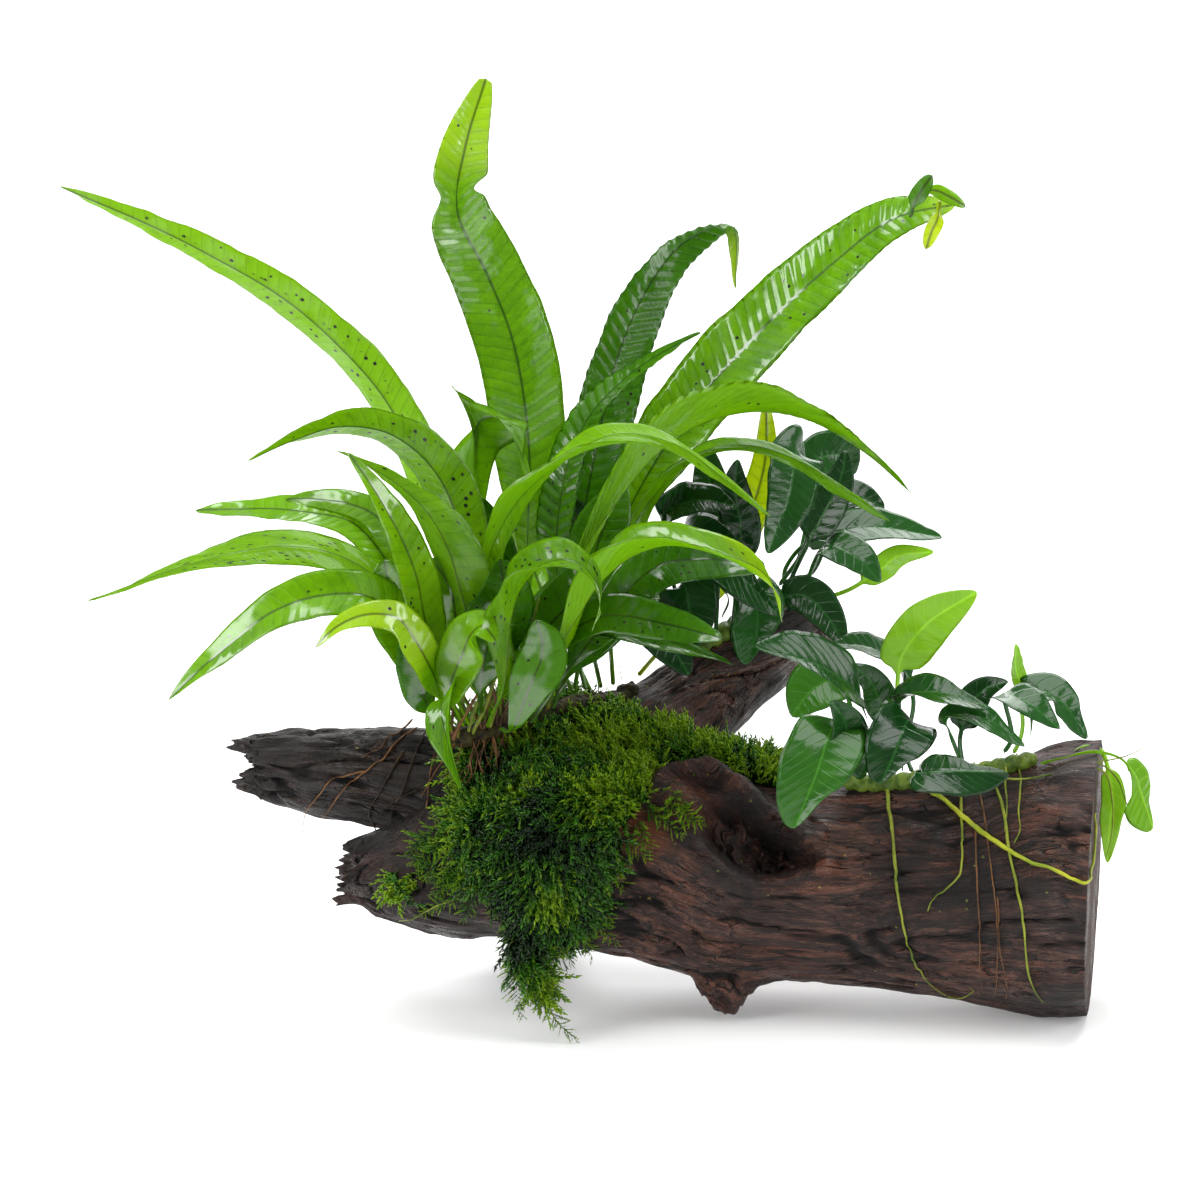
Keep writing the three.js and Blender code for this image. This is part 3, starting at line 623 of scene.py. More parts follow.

# %% [markdown]
# ## Finish of the wood
# Wet driftwood looks nearly black in its clefts and red-brown where the fibres catch the light, and both are
# painted
# here: clefts, cracks and the hollow of the burl are painted nearly black as shade, and red-brown streaks along
# the grain are partly painted light. Each corner carries its place along and across the grain, so that noises
# stretched along the grain follow every bend. One material serves all the wood: stored notes say where it is
# hollow and painted with shade, red, shaded or sawn, and the sawn face shows growth rings in place of fibres.
# Water lies in patches, where the wood is smoother.


# %% Wood finish
def wood_finish():
    graph = Graph("wet_driftwood")
    grain = graph.attribute("grain", 1)
    along, u, v = graph.parts(grain)
    hollow = graph.attribute("hollow", 2)
    red = graph.attribute("red", 2)
    sawn = graph.attribute("sawn", 2)
    shade = graph.attribute("shade", 2)
    body = graph.node("ShaderNodeTexCoord", output=3)
    fibre = graph.noise(graph.place(along * 0.12, u, v), 620.0, 4.0, 0.65, 0.5)
    streak = graph.noise(graph.place(along * 0.07, u, v), 190.0, 3.0, 0.6, 0.4)
    patch = graph.noise(body, 17.0, 4.0, 0.65)
    deep, mid, warm = (0.0075, 0.0036, 0.0030), (0.036, 0.0145, 0.0100), (0.145, 0.054, 0.033)
    color = graph.mix(patch.ramp(0.36, 0.60), deep, mid)
    # Red-brown streaks and threads along the grain: partly the wood's own colour, partly painted light where
    # the fibres catch it.
    color = graph.mix((streak.ramp(0.44, 0.62) * patch.ramp(0.36, 0.62)) * 0.9, color, warm)
    thread = graph.noise(graph.place(along * 0.10, u, v), 1500.0, 2.0, 0.6)
    threads = (fibre * 0.6 + thread * 0.4).ramp(0.52, 0.62) * patch.ramp(0.34, 0.55)
    color = graph.mix(threads * 0.55, color, (0.17, 0.075, 0.048))
    color = graph.mix(red.ramp(0.1, 0.9) * 0.8, color, (0.17, 0.045, 0.011))
    # Near black between the fibres: partly dark grain, partly painted shade in the grooves that the bump below
    # gives them.
    color = graph.mix((1.0 - fibre.ramp(0.34, 0.48)) * 0.8, color, (0.004, 0.002, 0.0018))
    color = graph.mix(shade * 0.85, color, (0.0095, 0.0062, 0.0055))
    # Painted shade: thin slits along the grain, which the bump below sinks, are painted nearly black.
    line = graph.noise(graph.place(along * 0.085, u, v), 175.0, 2.0, 0.5, 0.6)
    slit = (1.0 - ((line - 0.5).maths("ABSOLUTE") * 2.0)).ramp(0.955, 0.99) * patch.ramp(0.42, 0.52)
    color = graph.mix(slit * 0.9, color, (0.002, 0.001, 0.001))
    # Painted shade: clefts, splinter gaps and the burl's hollow are painted nearly black.
    color = graph.mix(hollow.ramp(0.1, 0.8) * 0.92, color, (0.0025, 0.0015, 0.0012))
    ring = (along * (2 * math.pi / 0.0021) + streak * 5.0).maths("SINE").ramp(-0.6, 0.8)
    cut_face = graph.mix(ring, (0.035, 0.014, 0.009), (0.105, 0.055, 0.036))
    # Painted shade in the cracks of the sawn face.
    cut_face = graph.mix(hollow, cut_face, (0.008, 0.004, 0.003))
    color = graph.mix(sawn, color, cut_face)
    cell = graph.raw("ShaderNodeTexVoronoi", {"feature": "F1"}, {"Vector": body, "Scale": 250.0})
    chance = graph.node("ShaderNodeSeparateColor", None, {0: Value(graph, cell.outputs["Color"])})
    torn = Value(graph, cell.outputs["Distance"]) + graph.noise(body, 900.0, 2.0) * 0.5
    here = graph.noise(body, 55.0, 2.0).ramp(0.47, 0.53)
    fleck = (1.0 - torn.ramp(0.38, 0.44)) * chance.ramp(0.90, 0.902) * here
    fleck_color = graph.mix(patch.ramp(0.45, 0.55), (0.12, 0.15, 0.02), (0.36, 0.26, 0.07))
    color = graph.mix(fleck, color, fleck_color)
    wet = (fibre * 0.5 + streak * 0.5).ramp(0.42, 0.56) * graph.noise(body, 34.0, 3.0).ramp(0.42, 0.56)
    rough = 0.46 + fibre * 0.2 + hollow * 0.3 + sawn * 0.2 - wet * (1.0 - hollow.ramp(0.4, 0.9)) * 0.40
    normal = graph.bump(fibre + streak * 0.8 + thread * 0.45 - slit * 0.6, 1.0, 0.0034)
    inputs = {"Base Color": color, "Roughness": rough, "Normal": normal, "Specular IOR Level": 0.42}
    return graph.finish(graph.node("ShaderNodeBsdfPrincipled", None, inputs))


wood = wood_finish()
print("wood finish of", len(wood.node_tree.nodes), "nodes")

# %% The four woods
saw_slope = math.tan(math.radians(13))
trunk_log = read_log("driftwood_trunk", (1, 0, 0), (0.14, 0.9), skew=saw_slope)
limb_log = read_log("driftwood_left_limb", (1, 0, 0), (0.1, 0.5), (0.0, 0.02), cut_by=["driftwood_trunk"])
cutters = ["driftwood_trunk", "driftwood_left_limb"]
branch_log = read_log("driftwood_back_branch", (0.76, 0.5, 0.42), (0.5, 0.92), (0.02, 0.0), cut_by=cutters)
root_log = read_log(
    "driftwood_back_root", (-0.17, 0.58, -0.8), (0.45, 0.7), (0.02, 0.0), cut_by=["driftwood_trunk"]
)
trunk_mesh = grow_log(
    "trunk", "driftwood_trunk", trunk_log, 236, 330, breaks=(0.032, 0.0), sawn=True, burled=True, seed=100
)
limb_mesh = grow_log(
    "left_limb", "driftwood_left_limb", limb_log, 220, 230, (0.026, 0.0), seed=200, rough=1.5, darker=1.0
)
grow_log("back_branch", "driftwood_back_branch", branch_log, 130, 130, breaks=(0.0, 0.014), seed=300)
grow_log("back_root", "driftwood_back_root", root_log, 110, 90, seed=400)
for label, log in (("trunk", trunk_log), ("limb", limb_log), ("branch", branch_log), ("root", root_log)):
    radii = np.round(log["radii"][::18, 0] * 1000, 1)
    print(label, "length mm", round(log["length"] * 1000), "radii mm", radii)


# %% [markdown]
# ## The burl
# A burl is a knot where the grain swirls. This one has a dome, a deep bowl beside it and ropes of wood that
# fan out round the bowl. It is a shell of its own with its back buried in the trunk.


# %% The burl
def grow_burl():
    """The healed break as a fine shell of its own, whose back is buried in the log."""
    front_rows = 0.82
    kept = {}

    def place(turn, row):
        phi = turn * 2 * math.pi
        out = np.where(row < front_rows, row / front_rows, (1 - row) / (1 - front_rows))
        x = BURL_MIDDLE[0] + BURL_HALF[0] * out * np.cos(phi)
        degrees = BURL_MIDDLE[1] + BURL_HALF[1] * out * np.sin(phi)
        round_turn = (degrees / 360) % 1
        centre_x = trunk_log["centres"][:, 0]
        share = np.interp(x * MM, centre_x, np.linspace(0, 1, STATIONS))
        arms = directions(trunk_log, share, round_turn)
        radius = radius_at(trunk_log, share, round_turn)
        centre = curve_through(trunk_log["centres"], share * (STATIONS - 1))
        base = centre + arms * radius[:, None]
        height, _, dark, inside = burl(x, degrees)
        ax, ay = x - 44, degrees - 20
        away = np.hypot(ax, ay)
        sway = 0.6 * (bumps(base / 0.014, 77) - 0.5)
        fan = np.arctan2(ay, ax) + sway + 0.3 * (bumps(base / 0.005, 70) - 0.5)
        ray = np.stack([away * MM, fan * 0.034, 0 * away], -1)
        ribs = bumps(ray / np.array([0.009, 0.0021, 1]), 72) - 0.5
        ropes = bumps(ray / np.array([0.02, 0.0062, 1]), 78) - 0.5
        lumps = bumps(base / 0.0052, 73) - 0.5
        grit = bumps(base / 0.0019, 74) - 0.5
        bark = bumps(base / np.array([0.012, 0.004, 0.004]), 79) - 0.5
        fluted = 4.4 * ribs + 6.0 * ropes + 3.0 * lumps
        height += (inside * fluted + (1 - inside) * (2.4 * bark + 2.6 * lumps) + 1.1 * grit) * MM
        height -= 8 * MM * smooth_step(out, 0.74, 1.0)
        height = np.where(row < front_rows, height, -8 * MM - 9 * MM * (1 - out))
        spot = centre + arms * (radius + height)[:, None]
        around = round_turn * 2 * math.pi
        plain = np.stack([x * MM, radius * np.sin(around), radius * np.cos(around)], -1)
        grooves = inside * smooth_step(-ribs - 0.4 * ropes, 0.05, 0.3)
        dome = np.exp(-(oval(x, degrees, (33, 44), (20, 17)) ** 4))
        kept["grain"] = ray * inside[:, None] + plain * (1 - inside)[:, None]
        # Painted shade: part of the burl's painted shade, and the grooves between the ribs darkened.
        kept["hollow"] = np.maximum(dark * 0.35, grooves * 0.7)
        kept["red"] = 0.5 * np.maximum(dome, 0.5 * inside)
        kept["sawn"] = 0 * x
        kept["shade"] = 0 * x
        return spot

    mesh = sleeve("burl", 280, 170, place, lambda turn, row: kept)
    piece("burl", mesh, [wood])
    return mesh


burl_mesh = grow_burl()
print("burl of", len(burl_mesh.polygons), "faces")

# %% [markdown]
# ## Leaf finishes
# A java fern blade is thin and lets light through: it is a gloss surface mixed with a translucent one.
# Its side veins are a little darker, a fine pale net runs between them, dark spore cases dot the older
# blades, and the midrib turns brown towards the foot. An anubias blade is thick, dark and waxy, so nearly
# all of it is reflection. Both read a note stored with each corner: how far across the blade it is, how
# far along and how wide the blade is there, so that the markings follow the leaf however it bends.


# %% Fern finish
def fern_finish(name, deep, bright, glow, spots):
    graph = Graph(name)
    across, along, half = graph.parts(graph.attribute("blade", 1))
    side = graph.attribute("side", 2)
    tone = graph.attribute("tone", 2)
    young = graph.attribute("young", 2)
    place = graph.place(across * half, along, side * 0.002 + tone * 0.3)
    cloud = graph.noise(place, 75.0, 3.0)
    fine = graph.noise(place, 700.0, 2.0)
    off = across.maths("ABSOLUTE")
    ridge = ((along - off * half * 0.5) * (math.pi / RIB_STEP)).maths("SINE").maths("ABSOLUTE")
    vein = 1.0 - ridge.ramp(0.0, 0.35)
    color = graph.mix((cloud * 0.7 + tone * 0.7).ramp(0.25, 0.95), deep, bright)
    color = graph.mix(vein * 0.14, color, [c * 0.6 for c in deep])
    inputs = {"Vector": place, "Scale": 260.0}
    to_edge = graph.node("ShaderNodeTexVoronoi", {"feature": "DISTANCE_TO_EDGE"}, inputs, "Distance")
    net = 1.0 - to_edge.ramp(0.0, 0.09)
    color = graph.mix(net * 0.22, color, [min(1.0, c * 1.5 + 0.01) for c in bright])
    color = graph.mix(young * 0.9, color, (0.36, 0.55, 0.015))
    midrib = 1.0 - (off * half).ramp(0.0003, 0.0009)
    foot = 1.0 - along.ramp(0.03, 0.15)
    under = (side * -1.0).ramp(0.0, 0.2)
    rib_color = graph.mix(foot * (under * 0.6 + 0.4), [c * 0.4 for c in deep], (0.045, 0.014, 0.003))
    color = graph.mix(midrib * 0.75, color, rib_color)
    inputs = {"Vector": place, "Scale": 230.0, "Randomness": 0.75}
    cell = graph.raw("ShaderNodeTexVoronoi", {"feature": "F1"}, inputs)
    dot = 1.0 - Value(graph, cell.outputs["Distance"]).ramp(0.12 + 0.08 * spots, 0.2 + 0.08 * spots)
    pick = graph.node("ShaderNodeSeparateColor", None, {0: Value(graph, cell.outputs["Color"])})
    dot = dot * pick.ramp(1 - spots, 1.001 - spots) * off.ramp(0.15, 0.3) * (1.0 - off.ramp(0.7, 0.85))
    dot = dot * half.ramp(0.004, 0.007)
    color = graph.mix(dot, color, (0.006, 0.004, 0.001))
    rough = fine * 0.16 + 0.24
    gloss = graph.noise(graph.place(across * half * 1.6, along, tone), 40.0, 2.0).ramp(0.46, 0.56)
    gloss = gloss * (side.ramp(0.0, 0.2) * 0.75 + 0.25)
    normal = graph.bump(cloud * 1.0 + fine * 0.2 - vein * 0.25, 0.5, 0.0014)
    inputs = {"Base Color": color, "Roughness": rough, "Normal": normal, "Specular IOR Level": 0.16}
    inputs |= {"Coat Weight": gloss, "Coat Roughness": 0.13, "Coat IOR": 1.95}
    skin = graph.node("ShaderNodeBsdfPrincipled", None, inputs)
    through = graph.node("ShaderNodeBsdfTranslucent", None, {"Color": (*glow, 1)})
    clear = 0.36 * (1.0 - midrib * 0.8) * (1.0 - dot) * (1.0 - vein * 0.3)
    return graph.finish(graph.node("ShaderNodeMixShader", None, {0: clear, 1: skin, 2: through}))


# %% Anubias finish
def anubias_finish(name, deep, bright, glow, clear):
    graph = Graph(name)
    across, along, half = graph.parts(graph.attribute("blade", 1))
    tone = graph.attribute("tone", 2)
    place = graph.place(across * half, along, 0.0)
    cloud = graph.noise(place, 90.0, 3.0)
    fine = graph.noise(place, 900.0, 2.0)
    off = across.maths("ABSOLUTE")
    curve = (along - off * half * 0.9) * (math.pi / PAD_VEIN_STEP)
    vein = 1.0 - curve.maths("SINE").maths("ABSOLUTE").ramp(0.0, 0.25)
    color = graph.mix((cloud * 0.5 + tone * 0.8).ramp(0.2, 1.0), deep, bright)
    color = graph.mix(vein * 0.3, color, [c * 1.5 + 0.01 for c in bright])
    midrib = 1.0 - (off * half).ramp(0.0003, 0.0009)
    color = graph.mix(midrib * 0.32, color, [c * 2.0 + 0.01 for c in bright])
    rough = cloud * 0.12 + 0.07
    normal = graph.bump(fine * 0.25 + cloud - vein * 0.35, 0.3, 0.0009)
    inputs = {"Base Color": color, "Roughness": rough, "Normal": normal, "Specular IOR Level": 0.36}
    skin = graph.node("ShaderNodeBsdfPrincipled", None, inputs)
    through = graph.node("ShaderNodeBsdfTranslucent", None, {"Color": (*glow, 1)})
    return graph.finish(graph.node("ShaderNodeMixShader", None, {0: clear, 1: skin, 2: through}))


RIB_STEP = 5.6 * MM
PAD_VEIN_STEP = 6.5 * MM
FERN_LOOKS = {
    "fern_green": ((0.030, 0.125, 0.001), (0.17, 0.38, 0.002), (0.50, 0.82, 0.002), 0.2),
    "fern_spotted": ((0.045, 0.155, 0.001), (0.19, 0.40, 0.002), (0.54, 0.84, 0.002), 0.75),
    "fern_dark": ((0.013, 0.070, 0.001), (0.07, 0.23, 0.002), (0.25, 0.54, 0.003), 0.3),
    "fern_young": ((0.22, 0.38, 0.002), (0.47, 0.62, 0.006), (0.85, 0.98, 0.01), 0.0),
}
fern_finishes = [fern_finish(name, *look) for name, look in FERN_LOOKS.items()]
fern_green, fern_spotted, fern_dark, fern_young = fern_finishes
ANUBIAS_LOOKS = {
    "anubias_dark": ((0.004, 0.030, 0.005), (0.016, 0.085, 0.012), (0.06, 0.27, 0.02), 0.06),
    "anubias_mid": ((0.014, 0.080, 0.008), (0.05, 0.19, 0.014), (0.16, 0.5, 0.02), 0.14),
    "anubias_young": ((0.12, 0.32, 0.015), (0.30, 0.55, 0.03), (0.6, 0.9, 0.06), 0.35),
}
anubias_finishes = [anubias_finish(name, *look) for name, look in ANUBIAS_LOOKS.items()]
anubias_dark, anubias_mid, anubias_young = anubias_finishes
print("leaf finishes", len(fern_finishes) + len(anubias_finishes))

# %% [markdown]
# ## Growing a leaf from its plain solid
# The plain solid of a leaf is a four-sided tube: at each station it has a left edge, a right edge, a top
# and a bottom corner. Walking the merged mesh from one end gives those stations back in order. The fine
# leaf then follows the same line and the same twist with its own outline, a round stalk that flattens
# into the blade, a midrib that stands out underneath, ribs between the side veins and a wavy margin.


# %% Stations of a leaf
def rings_from(start):
    """Rings of corners met in order when a mesh is walked from one of its corners."""
    seen = {start}
    rings = [[start]]
    while rings[-1]:
        found = {e.other_vert(v) for v in rings[-1] for e in v.link_edges} - seen
        seen |= found
        rings.append(list(found))
    return rings[:-1]


def squareness(ring):
    """Shortest over longest way across a ring: large for a stalk and near 0 for a blade."""
    spans = [np.linalg.norm(ring[i] - ring[j]) for i in range(4) for j in range(i)]
    return min(spans) / max(spans)


def leaf_stations(node):
    """Spine, half width across, upper side and heading of a leaf at each station, foot first."""
    bm = merged_copy(node)
    for start in bm.verts:
        rings = rings_from(start)
        if [len(r) for r in rings] == [1] + [4] * (len(rings) - 2) + [1] and len(rings) > 4:
            break
    else:
        raise RuntimeError(f"{node} is not a leaf tube")
    corners = [np.array([v.co for v in ring]) for ring in rings[1:-1]]
    bm.free()
    if squareness(corners[0]) < squareness(corners[-1]):
        corners = corners[::-1]
    centres = np.array([ring.mean(axis=0) for ring in corners])
    tangents = unit(np.gradient(centres, axis=0))
    spine, across, upper = [], [], []
    for ring in corners:
        left, right, middle = edges_and_middle(ring)
        spine.append(middle)
        across.append((left - right) / 2)
        upper.append((left + right) / 2 - middle)
    return np.array(spine), np.array(across), np.array(upper), tangents


def edges_and_middle(ring):
    """The two corners of a ring that are furthest apart, its edges, and the middle of the other two."""
    pairs = [(i, j) for i in range(4) for j in range(i)]
    i, j = max(pairs, key=lambda p: np.linalg.norm(ring[p[0]] - ring[p[1]]))
    rest = [k for k in range(4) if k not in (i, j)]
    return ring[i], ring[j], ring[rest].mean(axis=0)


def leaf_frame(node):
    """Spine, half widths and unit directions across and up, turned the same way at every station."""
    spine, across, upper, tangents = leaf_stations(node)
    half = np.linalg.norm(across, axis=1)
    widest = int(np.argmax(half))
    up = np.zeros_like(spine)
    up[widest] = unit(upper[widest] - upper[widest].dot(tangents[widest]) * tangents[widest])
    side = np.zeros_like(spine)
    order = list(range(widest, len(spine))) + list(range(widest - 1, -1, -1))
    for k in order:
        near = up[widest] if k == widest else up[k - 1 if k > widest else k + 1]
        arm = unit(across[k])
        square = np.cross(arm, tangents[k])
        if square.dot(near) < 0:
            arm, square = -arm, -square
        side[k], up[k] = arm, unit(square)
    return spine, half.max(), side, up


LEAF_STATIONS = 11


def free_leaf(spine, width, uppers, stalk_rows=2, collar=0.16):
    """The same for a small leaf that has no plain solid, from a few places on its midrib in millimetres."""
    path = curve_through(np.array(spine) * MM, np.linspace(0, len(spine) - 1, 60))
    run = np.concatenate([[0], np.cumsum(np.linalg.norm(np.diff(path, axis=0), axis=1))])
    stalk = np.linspace(0, collar, stalk_rows + 1)[:-1]
    shares = np.concatenate([stalk, np.linspace(collar, 1, LEAF_STATIONS - stalk_rows)])
    spine = np.stack([np.interp(shares * run[-1], run, path[:, k]) for k in range(3)], -1)
    tangents = unit(np.gradient(spine, axis=0))
    ways = curve_through(np.array(uppers, float), np.linspace(0, len(uppers) - 1, LEAF_STATIONS))
    side = unit(np.cross(tangents, ways))
    return spine, width * MM / 2, side, unit(np.cross(side, tangents))


# %% The fine leaf
def outline(s, rise, fall):
    peak = rise / (rise + fall)
    return s**rise * (1 - s) ** fall / (peak**rise * (1 - peak) ** fall)


# rise and fall shape the outline, fold and lobe the cross section and the foot of the blade; rib and wave
# are heights and wave_step a length, in millimetres.
FROND = dict(
    rise=0.55, fall=0.85, stalk_rows=2, fold=0.18, lobe=0.0, base=0.25, rib=0.35, wave=1.0, wave_step=17
)
BLUNT_FROND = dict(FROND, rise=0.5, fall=0.6, rib=1.1)
RIBBED_FROND = dict(FROND, rib=1.9)
SLIM_FROND = dict(FROND, rise=1.2, fall=0.75, base=0.5)
FROND_OF_CROWN = dict(SLIM_FROND, rise=2.2, fall=0.9)
PAD = dict(
    rise=0.3, fall=0.75, stalk_rows=4, fold=0.2, lobe=0.16, base=1.0, rib=0.28, wave=0.7, wave_step=13
)
LEAF_COLUMNS = 32


def grow_leaf(name, shape, kind, material, tone, seed, replaces=(), young_from=2.0, neck=None):
    """A finished leaf. Past young_from it is yellow-green, and at neck it is pinched in."""
    spine, widest, side, up = shape
    stations = len(spine) - 1
    length = np.linalg.norm(np.diff(spine, axis=0), axis=1).sum()
    rows = int(length / (1.15 * MM))
    foot = kind["stalk_rows"] / stations
    stalk_half = 1.15 * MM
    vein_step = RIB_STEP if kind["lobe"] == 0 else PAD_VEIN_STEP

    def lay(turn, row):
        c = 1 - np.abs(4 * turn - 2)
        face = np.where(turn < 0.5, 1.0, -1.0) * np.where(np.abs(c) > 0.9999, 0, 1)
        face = np.where((turn < 1e-6) | (turn > 1 - 1e-6) | (np.abs(turn - 0.5) < 1e-6), 0, face)
        u = np.sign(-c) * np.abs(c) ** 1.2
        s = np.clip((row - foot) / (1 - foot), 0, 1)
        return u, face, s

    def place(turn, row):
        u, face, s = lay(turn, row)
        at = row * stations
        middle = curve_through(spine, at)
        arm = unit(curve_through(side, at))
        top = unit(curve_through(up, at))
        ahead = unit(np.cross(top, arm))
        blade = smooth_step(row, foot * 0.8, foot * 1.08 + 0.01)
        edge = outline(np.clip(s * 0.985 + 0.005, 1e-4, 1 - 1e-4), kind["rise"], kind["fall"])
        if neck:
            edge = edge * (1 - neck[1] * np.exp(-(((s - neck[0]) / 0.022) ** 2)))
        edge = edge * (kind["base"] + (1 - kind["base"]) * smooth_step(s, 0, 0.3))
        along = row * length
        ragged = 1 + 0.05 * (bumps(np.stack([along / 0.009, np.sign(u) * 9, 0 * u], -1), seed) - 0.5) * blade
        width = np.maximum(stalk_half * (1 - 0.6 * s), widest * edge * blade) * ragged
        off = np.abs(u) * width
        fold = kind["fold"] * np.abs(u) * widest * edge * blade
        reach = np.stack([along / (kind["wave_step"] * MM), np.sign(u) * 5.5, 0 * u], -1)
        wave = kind["wave"] * MM * u**2 * (3 * bumps(reach, seed + 8) + bumps(reach * 2.7, seed + 9) - 2)
        rib = kind["rib"] * MM * (np.abs(np.sin(math.pi * (along - off * 0.5) / vein_step)) - 0.6)
        broad = smooth_step(width, 3 * MM, 9 * MM)
        rib *= smooth_step(off, 0.5 * MM, 2.5 * MM) * (1 - 0.6 * np.abs(u) ** 4) * broad
        swell = bumps(np.stack([along / 0.03, u * 1.2, 0 * u], -1), seed + 5) - 0.5
        slow = 1.2 * MM * swell * broad
        sheet = 0.22 * MM * (1 - np.abs(u) ** 6)
        stem = np.where(blade < 1, stalk_half * 0.9, 0.75 * MM * (1 - 0.75 * s))
        stem *= np.exp(-((off / (1.0 * MM)) ** 2))
        stem *= np.where(face < 0, 1.0, 0.25 + 0.75 * (1 - blade))
        round_stalk = stalk_half * 0.9 * np.sqrt(np.maximum(1 - u**2, 0))
        thick = np.where(blade > 0.999, sheet + stem, (1 - blade) * round_stalk + blade * (sheet + stem))
        taper = np.where((row < 1e-6) | (row > 1 - 1e-6), 0.0, 1.0)
        lift = (fold + wave * blade + rib * blade + slow * blade) + face * thick * (np.abs(u) < 0.9999)
        back = kind["lobe"] * 2 * widest * np.maximum(0, 1 - 3 * s) * np.abs(u) * blade
        spot = middle + arm * (u * width * taper)[:, None] + top * (lift * taper)[:, None]
        return spot - ahead * (back * taper)[:, None]

    def notes(turn, row):
        u, face, s = lay(turn, row)
        edge = outline(np.clip(s * 0.985 + 0.005, 1e-4, 1 - 1e-4), kind["rise"], kind["fall"])
        blade = smooth_step(row, foot * 0.8, foot * 1.08 + 0.01)
        width = np.maximum(stalk_half, widest * edge * blade)
        return {
            "blade": np.stack([u, row * length, width], -1),
            "side": face.astype(float),
            "tone": np.full(len(u), tone),
            "young": smooth_step(s, young_from, young_from + 0.1),
        }

    mesh = sleeve(name, LEAF_COLUMNS, rows, place, notes)
    return piece(name, mesh, [material], replaces)


# %% All the leaves
FROND_KINDS = dict.fromkeys((1, 3, 5), BLUNT_FROND) | dict.fromkeys((4, 17), RIBBED_FROND)
FROND_KINDS[23] = FROND_OF_CROWN
DARK_FRONDS = dict.fromkeys((4, 16, 17, 23), fern_dark)
SPOTTED_FRONDS = dict.fromkeys((2, 7, 8, 9, 11, 14), fern_spotted)
FROND_FINISHES = DARK_FRONDS | SPOTTED_FRONDS | {22: fern_young}
YOUNG_TIPS = {1: 0.78, 3: 0.9, 4: 0.86, 20: 0.3, 15: 0.75}
NO_YOUNG_TIP = 2.0
NECKS = {1: (0.785, 0.42)}
fern_nodes = sorted(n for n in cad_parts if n.startswith("fern_leaf"))
for i, node in enumerate(fern_nodes, start=1):
    tone = random.Random(i).uniform(0.1, 0.9)
    grow_leaf(
        f"frond_{i:02d}", leaf_frame(node), FROND_KINDS.get(i, FROND), FROND_FINISHES.get(i, fern_green),
        tone, i, [node], YOUNG_TIPS.get(i, NO_YOUNG_TIP), NECKS.get(i),
    )

pad_nodes = sorted(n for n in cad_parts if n.startswith("anubias") and "_leaf_" in n)
for i, node in enumerate(pad_nodes, start=1):
    young = node in ("anubias_right_leaf_05", "anubias_right_leaf_12", "anubias_right_leaf_13")
    middle_aged = node in ("anubias_right_leaf_01", "anubias_right_leaf_03")
    finish = anubias_young if young else anubias_mid if middle_aged else anubias_dark
    tone = random.Random(50 + i).uniform(0.1, 0.9)
    name = node.replace("leaf", "pad")
    grow_leaf(name, leaf_frame(node), PAD, finish, tone, 50 + i, [node])

# The tip of the big right frond is torn: one flap curls up and a pale one hangs down.
torn_tip = leaf_frame("fern_leaf_03")[0][-1] / MM
FLAPS = [
    ([(-22, -3, -6), (-20, -5, 2), (-16, -6, 9), (-12, -4, 14)], 9, fern_dark),
    ([(-8, 0, 2), (-9, -3, -6), (-12, -3, -13), (-14, -2, -21)], 8, fern_young),
    ([(-20, -3, 4), (-12, -5, 7), (-4, -5, 4), (4, -4, -1)], 7, fern_green),
]
for i, (spine, width, finish) in enumerate(FLAPS, start=1):
    shape = free_leaf(np.array(spine) + torn_tip, width, [(0.3, -0.9, 0.2), (0.2, -0.9, 0.3)])
    grow_leaf(f"frond_03_flap_{i}", shape, BLUNT_FROND, finish, 0.5, 70 + i)
print("leaves from plain solids", len(fern_nodes) + len(pad_nodes))

# %% [markdown]
# The crown of the fern and both anubias clumps are crowded with smaller leaves that fill their middles.
# They have no plain solids, because they would have no room between their neighbours, and are grown from
# a few places on their midribs.

# %% The small leaves
SMALL_FRONDS = [
    ([[-70, -34, 150], [-100, -34, 225], [-114, -24, 245], [-136, -14, 249], [-156, -9, 249]], 15, 0),
    (
        [[-40, -42, 148], [-26, -44, 169], [-7, -54, 196], [16, -59, 225], [43, -64, 231], [68, -69, 228]],
        26, 1,
    ),
    ([[-45, -44, 150], [-35, -44, 179], [-7, -64, 204], [21, -74, 203], [48, -84, 198]], 20, 1),
    ([[-78, -44, 148], [-76, -74, 172], [-66, -89, 199], [-61, -94, 207], [-53, -99, 200]], 22, 0),
    ([[-80, -44, 145], [-88, -64, 165], [-89, -74, 182], [-92, -79, 194], [-95, -84, 202]], 22, 1),
    ([[-50, -34, 150], [-45, -34, 157], [-35, -39, 188], [-19, -44, 208], [-7, -49, 228]], 30, 1),
    ([[-74, -34, 148], [-77, -44, 160], [-74, -49, 190], [-76, -54, 215], [-85, -59, 230]], 28, 0),
    ([[-62, -36, 148], [-63, -49, 166], [-58, -59, 192], [-51, -64, 212], [-53, -64, 231]], 30, 1),
    ([[-30, -24, 150], [-26, -24, 160], [-12, -24, 184], [2, -29, 204], [21, -34, 206]], 28, 1),
    ([[-80, -40, 148], [-86, -54, 162], [-92, -64, 188], [-101, -69, 208], [-105, -69, 232]], 26, 0),
    ([[-48, -14, 148], [-48, -10, 180], [-58, -6, 215], [-64, -10, 250]], 26, 1),
    ([[-20, 0, 150], [-14, 4, 190], [-8, 6, 225], [4, 2, 255]], 28, 1),
]
for i, (spine, width, dark) in enumerate(SMALL_FRONDS, start=1):
    lean = spine[-1][0] - spine[1][0]
    uppers = [(-0.3 * np.sign(lean), -0.9, 0.3), (0.2 * np.sign(lean), -0.75, 0.7)]
    shape = free_leaf(spine, width, uppers)
    finish = fern_dark if dark else fern_green
    tone = random.Random(80 + i).uniform(0.1, 0.8)
    grow_leaf(f"small_frond_{i:02d}", shape, SLIM_FROND, finish, tone, 80 + i)
